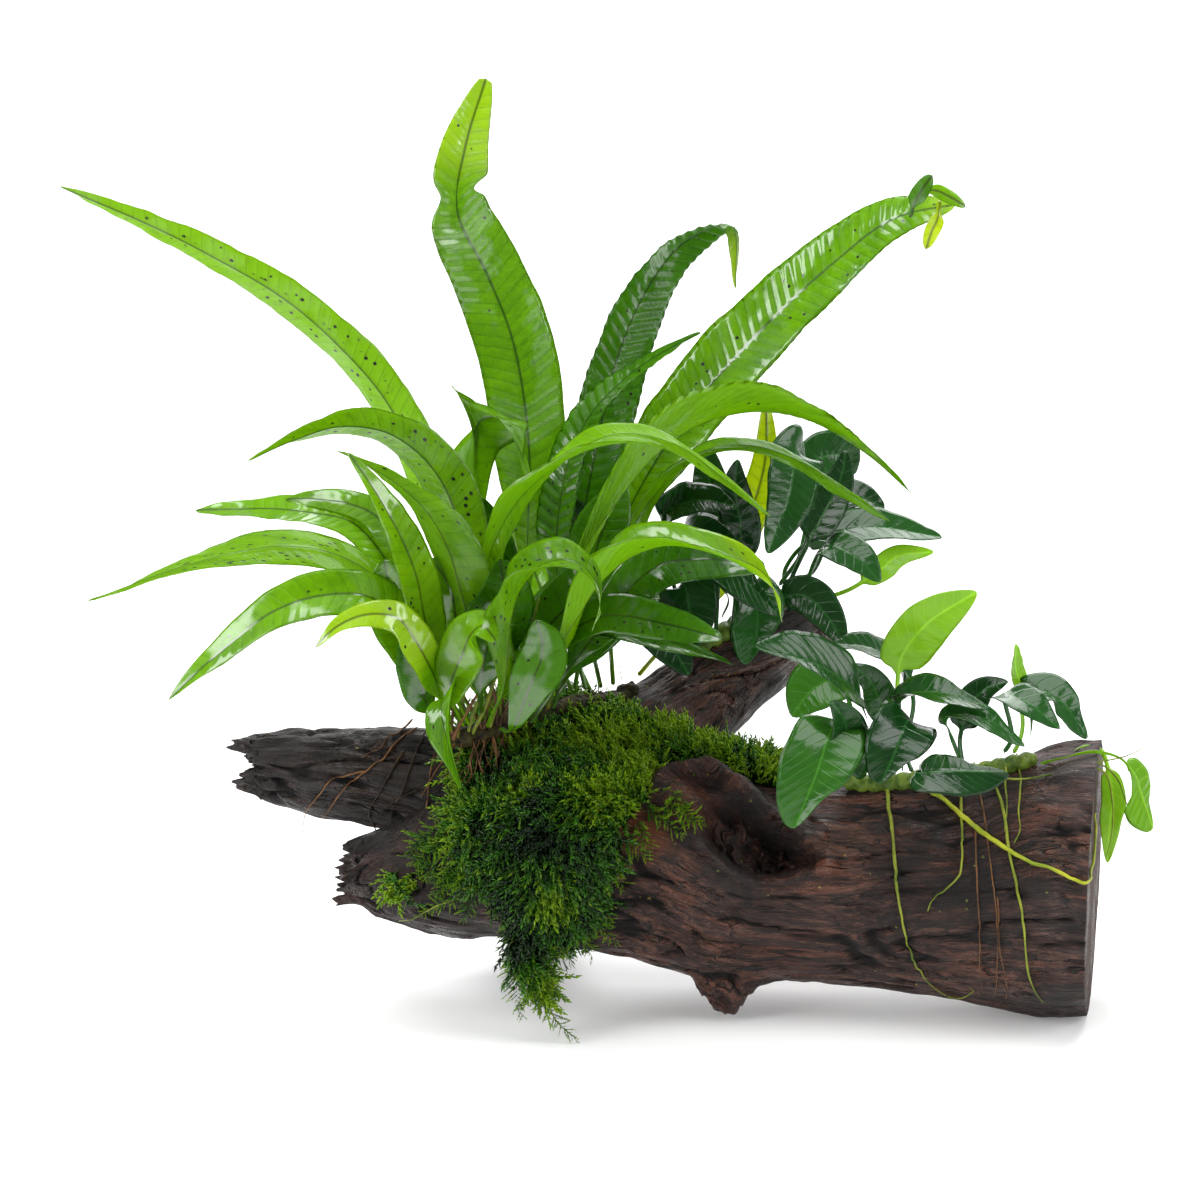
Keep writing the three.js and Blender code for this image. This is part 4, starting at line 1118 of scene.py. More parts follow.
SMALL_PADS = [
    ([[46, 36, 165], [-7, 46, 209], [-17, 41, 225], [-24, 36, 236], [-27, 31, 251]], 26, 0),
    ([[50, 40, 165], [52, 46, 229], [48, 56, 242], [46, 66, 256], [43, 71, 267]], 20, 0),
    ([[58, 42, 168], [62, 36, 221], [60, 36, 236], [59, 36, 251], [60, 36, 261]], 20, 0),
    ([[80, 56, 178], [92, 46, 209], [108, 66, 235], [114, 71, 247], [116, 76, 259]], 20, 0),
    ([[96, 66, 182], [117, 46, 194], [133, 56, 202], [143, 61, 208], [160, 61, 210]], 14, 1),
    ([[132, -20, 112], [138, -4, 130], [127, -9, 151], [122, -14, 162], [112, -19, 171]], 18, 0),
    ([[168, -24, 115], [167, -4, 130], [171, -4, 145], [178, -4, 155], [189, -9, 160]], 16, 0),
    ([[122, -20, 112], [119, -54, 129], [108, -64, 146], [105, -69, 157], [98, -74, 167]], 22, 0),
    ([[208, -28, 122], [231, -14, 130], [239, -19, 109], [238, -22, 95], [237, -24, 74]], 12, 1),
    ([[60, 44, 168], [78, 26, 190], [92, 22, 196], [104, 16, 186], [112, 10, 172]], 20, 0),
    ([[34, 30, 155], [22, 22, 172], [16, 14, 186], [26, 8, 176], [36, 4, 160]], 24, 0),
]
for i, (spine, width, young) in enumerate(SMALL_PADS, start=1):
    shape = free_leaf(spine, width, [(0, -0.8, 0.6), (0, -0.8, 0.5)], 4, 0.5)
    finish = anubias_young if young else anubias_dark
    tone = random.Random(110 + i).uniform(0.0, 0.6)
    grow_leaf(f"small_pad_{i:02d}", shape, PAD, finish, tone, 110 + i)
print("fronds", len(fern_nodes) + len(SMALL_FRONDS), "anubias leaves", len(pad_nodes) + len(SMALL_PADS))

# %% [markdown]
# ## Moss
# Java moss covers the middle of the log and hangs down its front. A moss mat is thousands of sprigs about
# a centimetre long: a thread of a stem with rows of tiny pointed leaves. Four sprigs are modelled,
# each leaf a flattened cone of four faces, and laid over the CAD pillows many times by arrays. A dark bed of
# painted shade under them fills the gaps. On the top the sprigs stand up every way; down the front they lie
# over each other like wet hair, and at the lower edge they join into feathers.


# %% Sprigs
def make_sprig(length, leaves, spread, bend, seed):
    """Corners, faces and tones of one sprig that points along Z."""
    dice = random.Random(seed)
    bm = bmesh.new()
    cone = dict(segments=3, cap_ends=True, cap_tris=True)
    stem = Matrix.Translation((0, 0, length / 2))
    bmesh.ops.create_cone(bm, radius1=0.32 * MM, radius2=0.12 * MM, depth=length, matrix=stem, **cone)
    for i in range(leaves):
        share = (i + 0.7) / leaves
        size = 4.0 * MM * (1 - 0.5 * share) * dice.uniform(0.8, 1.15)
        lean = math.radians(dice.uniform(28, 58)) * (1 - 0.75 * (share > 0.93)) * spread
        turn = math.pi * (i % 2) + dice.uniform(-0.7, 0.7)
        lay = Matrix.Translation((0, 0, length * share)) @ Matrix.Rotation(turn, 4, "Z")
        lay = lay @ Matrix.Rotation(lean, 4, "Y")
        lay = lay @ Matrix.Diagonal((1.0, 0.4, 1.0, 1.0)) @ Matrix.Translation((0, 0, size / 2))
        bmesh.ops.create_cone(bm, radius1=0.72 * MM, radius2=0.0, depth=size, matrix=lay, **cone)
    bmesh.ops.remove_doubles(bm, verts=bm.verts, dist=1e-7)
    bmesh.ops.recalc_face_normals(bm, faces=bm.faces)
    bmesh.ops.triangulate(bm, faces=bm.faces)
    for v in bm.verts:
        v.co.x += bend * length * (v.co.z / length) ** 2
    bm.verts.ensure_lookup_table()
    corners = np.array([v.co for v in bm.verts])
    faces = np.array([[v.index for v in f.verts] for f in bm.faces])
    bm.free()
    tone = np.clip(corners[:, 2] / length, 0, 1.1) * 0.7 + np.hypot(corners[:, 0], corners[:, 1]) / 0.006
    return corners, faces, tone


SPRIGS = [
    make_sprig(11 * MM, 11, 1.0, 0.15, 1),
    make_sprig(9 * MM, 10, 1.2, 0.35, 2),
    make_sprig(13 * MM, 12, 0.8, -0.2, 3),
    make_sprig(7 * MM, 8, 1.3, 0.5, 4),
]


def lay_sprigs(name, places, along, outward, size, tone, seed, replaces=()):
    """One mesh of sprigs: a place, a direction, an outward side, a size and a tone for each; the tones of the
    mat carry painted light and shade.
    """
    rng = np.random.default_rng(seed)
    kinds = rng.integers(0, len(SPRIGS), len(places))
    z = unit(along)
    y = unit(np.cross(z, outward))
    roll = rng.uniform(-0.9, 0.9, len(places))[:, None]
    x = np.cross(y, z)
    x, y = x * np.cos(roll) + y * np.sin(roll), y * np.cos(roll) - x * np.sin(roll)
    corners, faces, tones, count = [], [], [], 0
    for kind, (shape, triangles, shade) in enumerate(SPRIGS):
        chosen = kinds == kind
        frames = np.stack([x[chosen], y[chosen], z[chosen]], 1)
        turned = np.einsum("vc,ncd->nvd", shape, frames) * size[chosen][:, None, None]
        turned += places[chosen][:, None]
        starts = count + np.arange(chosen.sum()) * len(shape)
        corners.append(turned.reshape(-1, 3))
        faces.append((triangles[None] + starts[:, None, None]).reshape(-1, 3))
        tones.append((shade[None] * 0.6 + tone[chosen][:, None]).ravel())
        count += len(shape) * chosen.sum()
    corners, faces, tones = np.concatenate(corners), np.concatenate(faces), np.concatenate(tones)
    corners[:, 2] = np.maximum(corners[:, 2], 0.4 * MM)
    mesh = bpy.data.meshes.new(name)
    mesh.vertices.add(len(corners))
    mesh.vertices.foreach_set("co", corners.ravel())
    mesh.loops.add(faces.size)
    mesh.loops.foreach_set("vertex_index", faces.ravel())
    mesh.polygons.add(len(faces))
    mesh.polygons.foreach_set("loop_start", np.arange(len(faces)) * 3)
    mesh.polygons.foreach_set("loop_total", np.full(len(faces), 3))
    mesh.update(calc_edges=True)
    mesh.attributes.new("tone", "FLOAT", "POINT").data.foreach_set("value", tones.astype(np.float32))
    piece(name, mesh, [moss_green], replaces)
    return len(faces)


def moss_finish():
    graph = Graph("moss_green")
    tone = graph.attribute("tone", 2)
    body = graph.node("ShaderNodeTexCoord", output=3)
    patch = graph.noise(body, 38.0, 2.0)
    shade = tone * 0.62 + patch * 0.7 - 0.28
    color = graph.mix(shade.ramp(0.12, 0.58), (0.002, 0.018, 0.001), (0.040, 0.170, 0.003))
    color = graph.mix(shade.ramp(0.50, 0.92), color, (0.33, 0.52, 0.012))
    inputs = {"Base Color": color, "Roughness": 0.24, "Specular IOR Level": 0.45}
    skin = graph.node("ShaderNodeBsdfPrincipled", None, inputs)
    through = graph.node("ShaderNodeBsdfTranslucent", None, {"Color": (0.20, 0.55, 0.02, 1)})
    clear = shade.ramp(0.2, 1.0) * 0.4
    return graph.finish(graph.node("ShaderNodeMixShader", None, {0: clear, 1: skin, 2: through}))


def shade_bed_finish():
    graph = Graph("moss_shadow")
    grit = graph.noise(graph.node("ShaderNodeTexCoord", output=3), 420.0, 4.0)
    # Painted shade: the near-black green of the sheet under the sprigs.
    color = graph.mix(grit, (0.001, 0.005, 0.001), (0.008, 0.032, 0.003))
    normal = graph.bump(grit, 1.0, 0.003)
    inputs = {"Base Color": color, "Roughness": 1.0, "Specular IOR Level": 0.05, "Normal": normal}
    return graph.finish(graph.node("ShaderNodeBsdfPrincipled", None, inputs))


moss_green = moss_finish()
moss_shadow = shade_bed_finish()
print("faces of the sprigs", [len(faces) for _, faces, _ in SPRIGS])


# %% [markdown]
# ## The dark bed of painted shade
# Between the sprigs of a thick mat the eye meets shadow, not wood. A dull dark skin in the shape of the
# plain pillow, a little smaller and lumpy, is that shadow painted on: a sheet of painted shade down there.


# %% Bed of painted shade under the moss
# The lower edge of the mat on the front of the wood, as x and z in millimetres.
MAT_EDGE = [
    (-77, 150), (-73, 96), (-67, 78), (-54, 73), (-46, 70), (-43, 46), (-23, 44),
    (-12, 56), (-6, 82), (0, 90), (6, 101), (16, 108), (30, 106), (45, 92),
]


def inside_mat(places):
    """How far inside the edge of the mat each place lies, in millimetres."""
    x, z = places[:, 0] / MM, places[:, 2] / MM
    return z - np.interp(x, *np.array(MAT_EDGE, float).T) + 8 * (bumps(places / 0.007, 515) - 0.5)


def shade_bed(node, seed):
    """A CAD pillow of moss made lumpy, a sheet of painted shade in place of the pillow."""
    bm = merged_copy(node)
    bmesh.ops.subdivide_edges(bm, edges=bm.edges, cuts=3, use_grid_fill=True)
    bmesh.ops.smooth_vert(bm, verts=bm.verts, factor=0.5, use_axis_x=True, use_axis_y=True, use_axis_z=True)
    places = np.array([v.co for v in bm.verts])
    bm.normal_update()
    lumps = (bumps(places / 0.007, seed) - 1.5) * 3.0 * MM
    lumps += (bumps(places / 0.0025, seed + 1) - 0.5) * 1.5 * MM
    sunk = 1 - smooth_step(inside_mat(places), 0, 14)
    for v, lump, share in zip(bm.verts, lumps, sunk):
        hit, normal, _, _ = wood_skin.find_nearest(v.co)
        v.co = (v.co + v.normal * float(lump)).lerp(hit - normal * 3 * MM, float(share))
        v.co.z = max(v.co.z, 0.0)
    for face in bm.faces:
        face.smooth = True
    mesh = bpy.data.meshes.new(node + "_bed")
    bm.to_mesh(mesh)
    bm.free()
    piece(node + "_bed", mesh, [moss_shadow], [node])


def scatter(node, count, seed):
    """Places spread evenly over the outer side of a CAD pillow, with the outward side at each."""
    bm = merged_copy(node)
    bmesh.ops.triangulate(bm, faces=bm.faces)
    bm.normal_update()
    outer = [f for f in bm.faces if trunk_solid.find_nearest(f.calc_center_median())[3] > 1.4 * MM]
    corners = np.array([[v.co for v in f.verts] for f in outer])
    facing = np.array([f.normal for f in outer])
    areas = np.array([f.calc_area() for f in outer])
    bm.free()
    rng = np.random.default_rng(seed)
    pick = rng.choice(len(areas), count, p=areas / areas.sum())
    a, b = rng.random((2, count, 1))
    a, b = np.where(a + b > 1, 1 - a, a), np.where(a + b > 1, 1 - b, b)
    tri = corners[pick]
    return tri[:, 0] * (1 - a - b) + tri[:, 1] * a + tri[:, 2] * b, facing[pick], rng


def downhill(facing):
    """The way that water runs off a surface that faces this way."""
    return unit(np.array([0, 0, -1.0]) + facing[:, 2:3] * facing + 1e-6)


# %% The skin that the moss lies on
def skin_of(*meshes):
    bm = bmesh.new()
    for mesh in meshes:
        bm.from_mesh(mesh)
    skin = BVHTree.FromBMesh(bm)
    bm.free()
    return skin


def above_wood(places, least):
    """The same places, moved out where they would lie in the wood."""
    lifted = places.copy()
    for i, place in enumerate(places):
        hit, normal, _, _ = wood_skin.find_nearest(Vector(place))
        if (Vector(place) - hit).dot(normal) < least:
            lifted[i] = hit + normal * least
    return lifted


trunk_solid = solid_tree("driftwood_trunk")
wood_skin = skin_of(trunk_mesh, burl_mesh)
for node in ("moss_top", "moss_drape"):
    shade_bed(node, 500)

# %% [markdown]
# ## Laying the sprigs
# Places are scattered over each pillow. Each sprig leans outward and more or less down the slope, with its
# own size and tone. Pale sprigs gather where a slow noise says so, and painted light makes sprigs that face up
# paler, and sprigs right of the middle paler than those on the left.


# %% The mat
# How many places are scattered over each CAD pillow, and how many pieces its sprigs are shared out to.
MAT = {
    "moss_top": (4300, 4),
    "moss_drape": (5400, 4),
    "moss_left_tuft": (170, 1),
    "moss_hanging_strand": (330, 1),
}
sprigs = 0
for node, (count, parts) in MAT.items():
    places, facing, rng = scatter(node, count, 510)
    margin = inside_mat(places)
    keep = smooth_step(margin, -4, 3) > rng.random(count)
    if node == "moss_left_tuft":
        keep = (bumps(places / 0.012, 516) > 0.42) & (places[:, 2] > 66 * MM)
        margin -= 40
    elif node == "moss_hanging_strand":
        keep = places[:, 2] > 24 * MM
        margin += 80
    places, facing, margin, count = places[keep], facing[keep], margin[keep], keep.sum()
    down = downhill(facing)
    across = np.cross(down, facing)
    top = smooth_step(facing[:, 2], 0.2, 0.8)[:, None]
    swirl = bumps(places / 0.018, 512)[:, None] * 6.0 + rng.normal(0, 0.7, (count, 1))
    hang = rng.normal(0, 0.55, (count, 1)) + (bumps(places / 0.02, 513)[:, None] - 0.5) * 2.6
    hang = np.clip(hang, -1.7, 1.7)
    angle = hang * (1 - top) + swirl * top
    rise = rng.uniform(0.1, 0.7, (count, 1)) * (1 - top) + rng.uniform(0.2, 1.0, (count, 1)) * top
    along = (down * np.cos(angle) + across * np.sin(angle)) * np.cos(rise) + facing * np.sin(rise)
    size = rng.uniform(0.6, 1.3, count) * (1 + 0.2 * (1 - top[:, 0]))
    across_log, height = places[:, 0], places[:, 2]
    # The tone of each sprig: a slow noise and chance vary it, and painted light makes sprigs that face up and
    # sprigs right of the middle paler and those left of the middle darker. Sprigs low down and on the left tuft
    # are made paler as well.
    light = 1.5 * (bumps(places / 0.015, 514) - 0.5) + rng.uniform(-0.2, 0.3, count) + 0.2 * top[:, 0]
    light += 0.35 * smooth_step(across_log, -0.03, 0.015) + 0.2 * smooth_step(across_log, 0.03, 0.06) - 0.08
    light += 0.6 * smooth_step(-height, -0.055, -0.015) + 0.4 * (node == "moss_left_tuft")
    sink = (2 + 14 * (1 - smooth_step(margin, -2, 10))) * MM
    places = above_wood(places - facing * sink[:, None], 0.8 * MM)
    for k in range(parts):
        part = slice(k * count // parts, (k + 1) * count // parts)
        lay_sprigs(
            f"{node}_sprigs_{k + 1}", places[part], along[part], facing[part], size[part], light[part], k,
            [node] if parts == 1 else (),
        )
    sprigs += count
print("sprigs of the mat", sprigs)

# %% [markdown]
# ## Feathers and strands of moss
# Where the mat ends, single shoots reach out over the wood and hang off it. Each is a line that runs down
# the log and leaves it at the bottom, with side sprigs that get shorter towards its tip. The longest one
# hangs to the table.

# %% Feathers
def feathers(name, lines, seed, reach=1.0, replaces=()):
    """Sprigs along lines, in pairs to the left and right, as one mesh."""
    rng = np.random.default_rng(seed)
    places, along, sizes, tones, outs = [], [], [], [], []
    for line in lines:
        line = np.array(line)
        run = np.concatenate([[0], np.cumsum(np.linalg.norm(np.diff(line, axis=0), axis=1))])
        count = max(4, int(run[-1] / (1.0 * MM)))
        at = np.linspace(0.05, 1, count) * run[-1]
        spots = np.stack([np.interp(at, run, line[:, k]) for k in range(3)], -1)
        heading = unit(np.gradient(spots, axis=0))
        out = unit(np.array([0.0, -1.0, 0.25]) + 0 * heading)
        side = unit(np.cross(heading, out)) * np.where(np.arange(count) % 2, 1, -1)[:, None]
        share = at / run[-1]
        lean = rng.uniform(0.55, 1.1, (count, 1)) * (1 - 0.6 * smooth_step(share, 0.85, 1.0))[:, None]
        lift = rng.normal(0.12, 0.22, (count, 1))
        places.append(spots)
        along.append(heading * np.cos(lean) + side * np.sin(lean) + out * lift)
        sizes.append(reach * (0.95 - 0.62 * share) * rng.uniform(0.6, 1.15, count))
        tones.append(0.3 + 0.4 * share + rng.uniform(-0.15, 0.25, count))
        outs.append(out)
    join = np.concatenate
    return lay_sprigs(name, join(places), join(along), join(outs), join(sizes), join(tones), seed, replaces)


def run_down(x, z, slope, length, tree, seed):
    """A line of places that runs down the front of the wood from (x, z) and then hangs off it."""
    rng = random.Random(seed)
    line, step = [], 3 * MM
    for _ in range(int(length / step)):
        hit = tree.ray_cast(Vector((x, -0.3, z)), Vector((0, 1, 0)))[0]
        on_wood = hit and (not line or hit.y < line[-1][1] + 9 * MM)
        y = hit.y - 2.2 * MM if on_wood else line[-1][1] if line else -0.06
        line.append((x, y, max(z, 2 * MM)))
        slope += rng.uniform(-0.12, 0.12)
        x += step * slope
        z -= step * math.sqrt(max(0.1, 1 - min(0.9, slope * slope)))
    return line


# Each shoot of the fringe: x and z of its start in millimetres, its slope and its length.
FRINGE = [
    (-74, 106, -0.85, 34), (-74, 100, -0.7, 30), (-73, 94, -0.5, 30), (-80, 90, -0.8, 22), (-84, 82, -0.6, 16),
    (-88, 94, -0.85, 20), (-92, 84, -0.7, 10), (-72, 88, -0.35, 28), (-76, 80, -0.5, 18), (-70, 82, -0.1, 20),
    (-62, 80, -0.4, 30), (-58, 80, 0.0, 26), (-52, 80, -0.2, 28), (-46, 76, -0.1, 44), (-40, 70, -0.3, 40),
    (-44, 62, -0.3, 34), (-36, 60, 0.0, 36), (-30, 58, 0.15, 34), (-26, 56, -0.1, 36), (-20, 62, 0.2, 34),
    (-14, 68, 0.25, 30), (-8, 76, 0.3, 26), (-2, 90, 0.3, 22), (4, 100, 0.5, 20), (14, 112, 0.7, 24),
    (22, 114, 0.8, 26), (26, 118, 0.7, 22), (10, 106, 0.3, 18), (-66, 90, -0.5, 30), (-34, 50, -0.2, 30),
]
lines = []
for i, (x, z, slope, length) in enumerate(FRINGE):
    lines.append(run_down(x * MM, z * MM, slope, length * MM, wood_skin, i))
feathers("moss_fringe", lines, 601, 0.95)
STRANDS = [
    [(-43, -66, 60), (-41, -67, 48), (-36, -68, 34), (-32, -69, 20), (-27, -70, 10), (-19, -71, 3)],
    [(-46, -64, 56), (-48, -66, 44), (-50, -68, 36), (-52, -68, 28)],
    [(-38, -66, 54), (-33, -68, 44), (-30, -70, 34), (-27, -70, 26)],
    [(-44, -67, 44), (-46, -69, 32), (-46, -70, 22), (-44, -71, 14)],
    [(-36, -67, 44), (-35, -70, 30), (-31, -71, 18)],
]
main_strand = [np.array(STRANDS[0]) * MM]
feathers("moss_hanging_feathers", main_strand, 602, 1.15)
feathers("moss_hanging_side_feathers", [np.array(line) * MM for line in STRANDS[1:]], 603, 1.1)
thin_strand = run_down(-66 * MM, 84 * MM, -0.42, 62 * MM, wood_skin, 44)
feathers("moss_thin_strand", [thin_strand[: int(0.75 * len(thin_strand))]], 604, 0.9)
print("shoots of moss", len(lines) + len(STRANDS) + 1)

# %% [markdown]
# ## Creeping stems and roots
# The java fern creeps on a brown-green stem covered with dark scales and hairs; an anubias stem is thick,
# green and ringed with the scars of fallen leaves. Both hold on with roots that follow the wood, dive into
# clefts and wave free at their tips. Every root is the same tapering sleeve round a line laid on the wood.


# %% Stems
def plain_finish(name, deep, bright, scale, rough=0.4):
    graph = Graph(name)
    grit = graph.noise(graph.node("ShaderNodeTexCoord", output=3), scale, 4.0, 0.6)
    color = graph.mix(grit.ramp(0.35, 0.65), deep, bright)
    inputs = {"Base Color": color, "Roughness": rough, "Specular IOR Level": 0.25}
    inputs["Normal"] = graph.bump(grit, 0.6, 0.001)
    return graph.finish(graph.node("ShaderNodeBsdfPrincipled", None, inputs))


stem_brown = plain_finish("fern_stem", (0.006, 0.004, 0.0015), (0.050, 0.040, 0.008), 300.0, 0.7)
stem_green = plain_finish("anubias_stem", (0.045, 0.095, 0.010), (0.17, 0.25, 0.03), 120.0)
root_yellow = plain_finish("root_yellow", (0.20, 0.27, 0.012), (0.48, 0.50, 0.03), 60.0)
root_green = plain_finish("root_green", (0.085, 0.13, 0.010), (0.27, 0.31, 0.03), 60.0)
root_brown = plain_finish("root_brown", (0.045, 0.020, 0.008), (0.19, 0.085, 0.03), 80.0)
hair_dark = plain_finish("root_dark", (0.006, 0.004, 0.003), (0.04, 0.022, 0.012), 80.0)


def grow_stem(name, node, axis, finish, scar_step, scar, shag):
    """A creeping stem with scars round it or scales on it, in place of its CAD tube."""
    log = read_log(node, axis, (0.12, 0.88))
    last = STATIONS - 1

    def place(turn, row):
        share = np.clip(row, 0.0, 1.0)
        centre = curve_through(log["centres"], share * last)
        arms = directions(log, share, turn)
        along = share * log["length"]
        base = centre + arms * 0.005
        ring = np.abs(np.sin(math.pi * along / scar_step + 0.8 * np.sin(turn * 2 * math.pi)))
        swell = 1.1 * MM * scar * (ring - 0.4) + shag * MM * (bumps(base / 0.0022, 5) - 0.4)
        swell += 1.6 * MM * (bumps(base / 0.008, 6) - 0.5)
        closing = np.sqrt(np.clip(1 - np.abs(2 * row - 1) ** 24, 0, 1))
        return centre + arms * ((radius_at(log, share, turn) * 0.92 + swell) * closing)[:, None]

    mesh = sleeve(name, 28, 200, place)
    piece(name, mesh, [finish], [node])
    return log


fern_stem = grow_stem(
    "fern_stem", "fern_rhizome", (0.79, 0.6, 0.12), stem_brown, 9 * MM, 0.4, 2.8
)
for side, axis in (("back", (0.77, 0.5, 0.35)), ("right", (1, -0.06, 0.13))):
    name, node = f"anubias_{side}_stem", f"anubias_{side}_rhizome"
    grow_stem(name, node, axis, stem_green, 6.5 * MM, 1.0, 0.5)
print("fern stem length mm", round(fern_stem["length"] * 1000))


# %% [markdown]
# ## Laying the roots
# A route is a few places seen from the front, and a ray finds the wood behind each. A route may start above
# the wood: those few places are set back a little, so that the root comes over the edge.


# %% Roots
def grow_root(name, line, radius, finish, seed, replaces=(), tip=0.35, join=None):
    """A root round a line of places in metres."""
    line = np.array(line, float)
    run = np.concatenate([[0], np.cumsum(np.linalg.norm(np.diff(line, axis=0), axis=1))])
    rows = max(12, int(run[-1] / (1.6 * MM)))
    last = len(line) - 1
    headings = unit(np.gradient(curve_through(line, np.linspace(0, last, rows + 1)), axis=0))
    arms = [unit(np.cross(headings[0], (0.3, 0.9, 0.2)))]
    for heading in headings[1:]:
        arms.append(unit(arms[-1] - heading * arms[-1].dot(heading)))
    arms = np.array(arms)
    others = np.cross(headings, arms)

    def place(turn, row):
        at = np.rint(row * rows).astype(int)
        middle = curve_through(line, row * last)
        angle = (turn * 2 * math.pi)[:, None]
        uneven = 0.85 + 0.4 * bumps(np.stack([row * rows / 4, 0 * row, 0 * row], -1), seed)
        thick = radius * MM * (1 - (1 - tip) * row) * uneven
        thick = thick * np.where((row < 1e-6) | (row > 1 - 1e-6), 0, 1)
        spot = middle + (arms[at] * np.cos(angle) + others[at] * np.sin(angle)) * thick[:, None]
        spot[:, 2] = np.maximum(spot[:, 2], 0.2 * MM)
        return spot

    mesh = sleeve(name, 7, rows, place)
    if join is not None:
        join.append(mesh)
        return
    piece(name, mesh, [finish], replaces)


def joined(meshes, name):
    """One mesh in place of many."""
    bm = bmesh.new()
    for mesh in meshes:
        bm.from_mesh(mesh)
        bpy.data.meshes.remove(mesh)
    whole = bpy.data.meshes.new(name)
    bm.to_mesh(whole)
    bm.free()
    return whole


def laid(route, tree, lift):
    """Places on the front of the wood over (x, z) places in millimetres, lifted off it."""
    line, above = [], []
    route = np.array(route, float)
    run = np.concatenate([[0], np.cumsum(np.linalg.norm(np.diff(route, axis=0), axis=1))])
    dense = np.interp(np.linspace(0, run[-1], int(run[-1] / 2.5) + 3), run, np.arange(len(route)))
    for x, z in curve_through(route, dense):
        hit, normal, _, _ = tree.ray_cast(Vector((x * MM, -0.3, z * MM)), Vector((0, 1, 0)))
        if hit and (not line or abs(hit.y - line[-1][1]) < 0.03):
            spot = hit + normal * lift * MM
            line.append((spot.x, min(spot.y, hit.y), spot.z))
        elif line:
            line.append((x * MM, line[-1][1], z * MM))
        else:
            above.append((x, z))
    back = line[0][1]
    above = above[-3:]
    steps = range(len(above), 0, -1)
    return [(x * MM, back + 2 * k * MM, z * MM) for k, (x, z) in zip(steps, above)] + line


# Route over the front as x and z in millimetres, radius and finish. The first three have a CAD solid each.
RIGHT_ROOTS = [
    (
        [(135, 125), (131, 119), (130, 107), (131, 90), (132, 72), (136, 52), (142, 35), (152, 21), (159, 14)],
        0.85, root_green,
    ),
    (
        [(142, 128), (145, 119), (149, 113), (155, 110), (164, 104), (175, 97), (191, 89), (202, 87),
         (212, 83), (219, 82), (224, 86), (227, 104)],
        1.35, root_yellow,
    ),
    (
        [(179, 147), (176, 134), (177, 125), (182, 110), (184, 92), (188, 71), (192, 41), (197, 26), (203, 17)],
        0.9, root_green,
    ),
    (
        [(167, 133), (163, 124), (164, 114), (163, 100), (162, 83), (156, 75), (148, 68), (146, 63)],
        0.75, root_green,
    ),
    ([(188, 142), (185, 123), (184, 110), (182, 100)], 0.6, root_green),
    ([(193, 143), (191, 134), (192, 121), (189, 110), (189, 101), (186, 95)], 0.6, root_green),
    ([(169, 100), (169, 76), (170, 51), (172, 31), (175, 20)], 0.42, root_brown),
    ([(170, 135), (173, 109), (176, 80), (178, 55), (180, 16)], 0.42, root_brown),
    ([(178, 72), (179, 50), (183, 33), (186, 16)], 0.4, root_brown),
    ([(159, 14), (164, 13), (168, 17), (170, 22), (167, 24)], 0.5, root_green),
    ([(150, 24), (157, 18), (164, 15), (170, 16), (175, 20)], 0.4, root_brown),
]
for seed, (route, radius, finish) in enumerate(RIGHT_ROOTS):
    line = laid(route, wood_skin, 1.0)
    replaced = [f"anubias_root_{seed + 1}"] if seed < 3 else []
    grow_root(f"root_right_{seed + 1}", line, radius, finish, seed, replaced)
END_ROOTS = [
    [(205, -40, 122), (222, -38, 127), (240, -36, 130), (253, -36, 136)],
    [(214, -34, 126), (228, -30, 126), (238, -30, 119), (243, -30, 108), (247, -30, 96)],
    [(218, -34, 126), (232, -34, 122), (236, -36, 108), (236, -38, 94), (233, -42, 82)],
    [(176, -40, 122), (190, -46, 122), (206, -44, 124), (220, -40, 126)],
]
for i, line in enumerate(END_ROOTS):
    grow_root(f"end_root_{i + 1}", np.array(line) * MM, 0.6, root_green, 20 + i, (), 0.3)

limb_faces = [p.vertices for p in limb_mesh.polygons]
limb_skin = BVHTree.FromPolygons([v.co for v in limb_mesh.vertices], limb_faces)
LIMB_ROOTS = [
    ([(-94, 143), (-103, 135), (-109, 133), (-113, 128), (-122, 124)], 0.55, 0),
    ([(-95, 137), (-106, 130), (-110, 125), (-119, 119), (-130, 110), (-136, 101), (-142, 92)], 0.6, 0),
    ([(-119, 119), (-123, 118), (-136, 114), (-143, 105), (-149, 97), (-151, 91), (-152, 83)], 0.5, 0),
    ([(-101, 128), (-107, 119), (-113, 109), (-118, 99), (-117, 91), (-115, 83)], 0.7, 1),
    ([(-93, 111), (-102, 108), (-110, 101), (-114, 94)], 0.45, 1),
    ([(-90, 138), (-96, 126), (-101, 112), (-107, 100), (-108, 90)], 0.5, 1),
    ([(-84, 134), (-88, 120), (-90, 104), (-93, 92)], 0.6, 0),
]
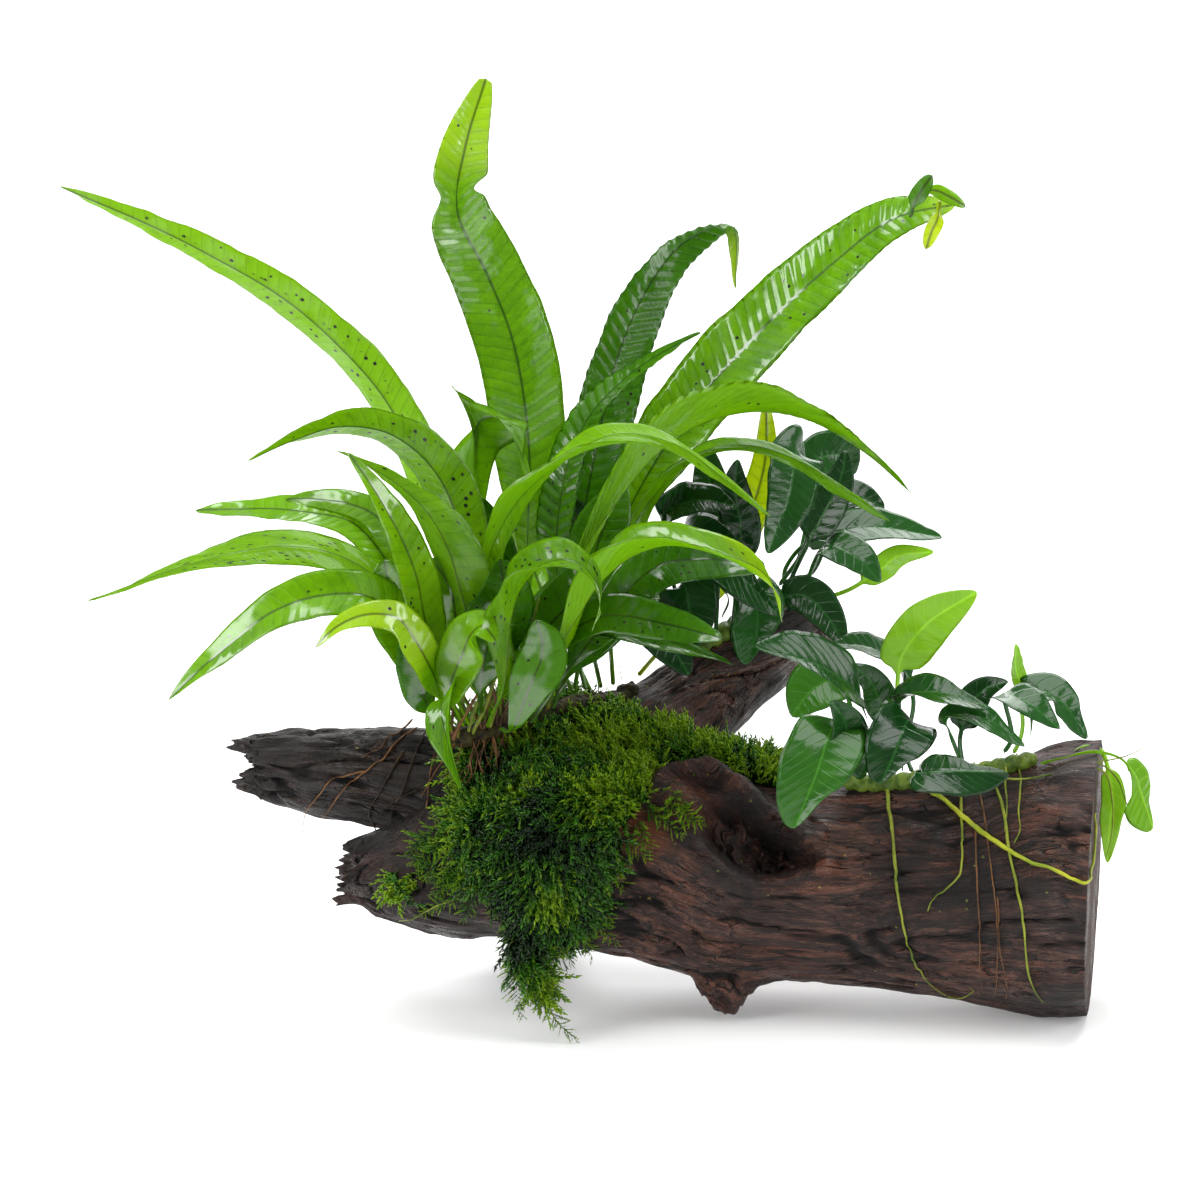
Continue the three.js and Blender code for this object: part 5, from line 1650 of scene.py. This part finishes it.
for i, (route, radius, dark) in enumerate(LIMB_ROOTS, start=1):
    line = laid(route, limb_skin, 0.6)
    grow_root(f"limb_root_{i}", line, radius, hair_dark if dark else root_brown, 40 + i)

grow_root("moss_thin_stem", thin_strand, 0.4, root_green, 55, (), 0.5)
grow_root("moss_hanging_stem", main_strand[0], 0.6, root_green, 56, (), 0.4)

# %% [markdown]
# ## Stumps and hairs
# Old stalks stay on the creeping stem when their blades are gone, some brown and some still green, and fine
# dark hairs hang from its underside. Each kind is joined to one piece.

# %% Old stalks and root hairs
for group, finish in enumerate((root_brown, root_green)):
    stalks = []
    for i in range(12):
        dice = random.Random(800 + 50 * group + i)
        foot = curve_through(fern_stem["centres"], np.array([dice.uniform(0.0, 0.5) * (STATIONS - 1)]))[0]
        lean, tall = dice.uniform(-0.55, 0.5), dice.uniform(20, 50) + 25 * group
        line = [foot + np.array([0, -0.003, 0])]
        for k in range(1, 5):
            line.append(line[-1] + np.array([lean + dice.uniform(-0.12, 0.12), -0.12, 1]) * tall / 4 * MM)
        grow_root(f"stalk_{i}", line, dice.uniform(0.7, 1.1), None, 90 + i, tip=0.6, join=stalks)
    piece(f"old_stalks_{group + 1}", joined(stalks, f"old_stalks_{group + 1}"), [finish])

hairs = []
for i in range(46):
    dice = random.Random(700 + i)
    start = curve_through(fern_stem["centres"], np.array([dice.uniform(0.02, 0.9) * (STATIONS - 1)]))[0]
    slant = dice.uniform(-0.7, 0.5)
    drop = dice.uniform(10, 26)
    line = [start + np.array([0, -0.003, 0.0])]
    for k in range(1, 5):
        wander = [slant * drop / 4 + dice.uniform(-2, 2), -2.2 + dice.uniform(-1, 0.8), -drop / 4]
        line.append(line[-1] + np.array(wander) * MM)
    grow_root(f"hair_{i}", line, dice.uniform(0.25, 0.5), None, 60 + i, join=hairs)
piece("fern_root_hairs", joined(hairs, "fern_root_hairs"), [root_brown])
print("roots", len(RIGHT_ROOTS) + len(END_ROOTS) + len(LIMB_ROOTS), "hairs", len(hairs))
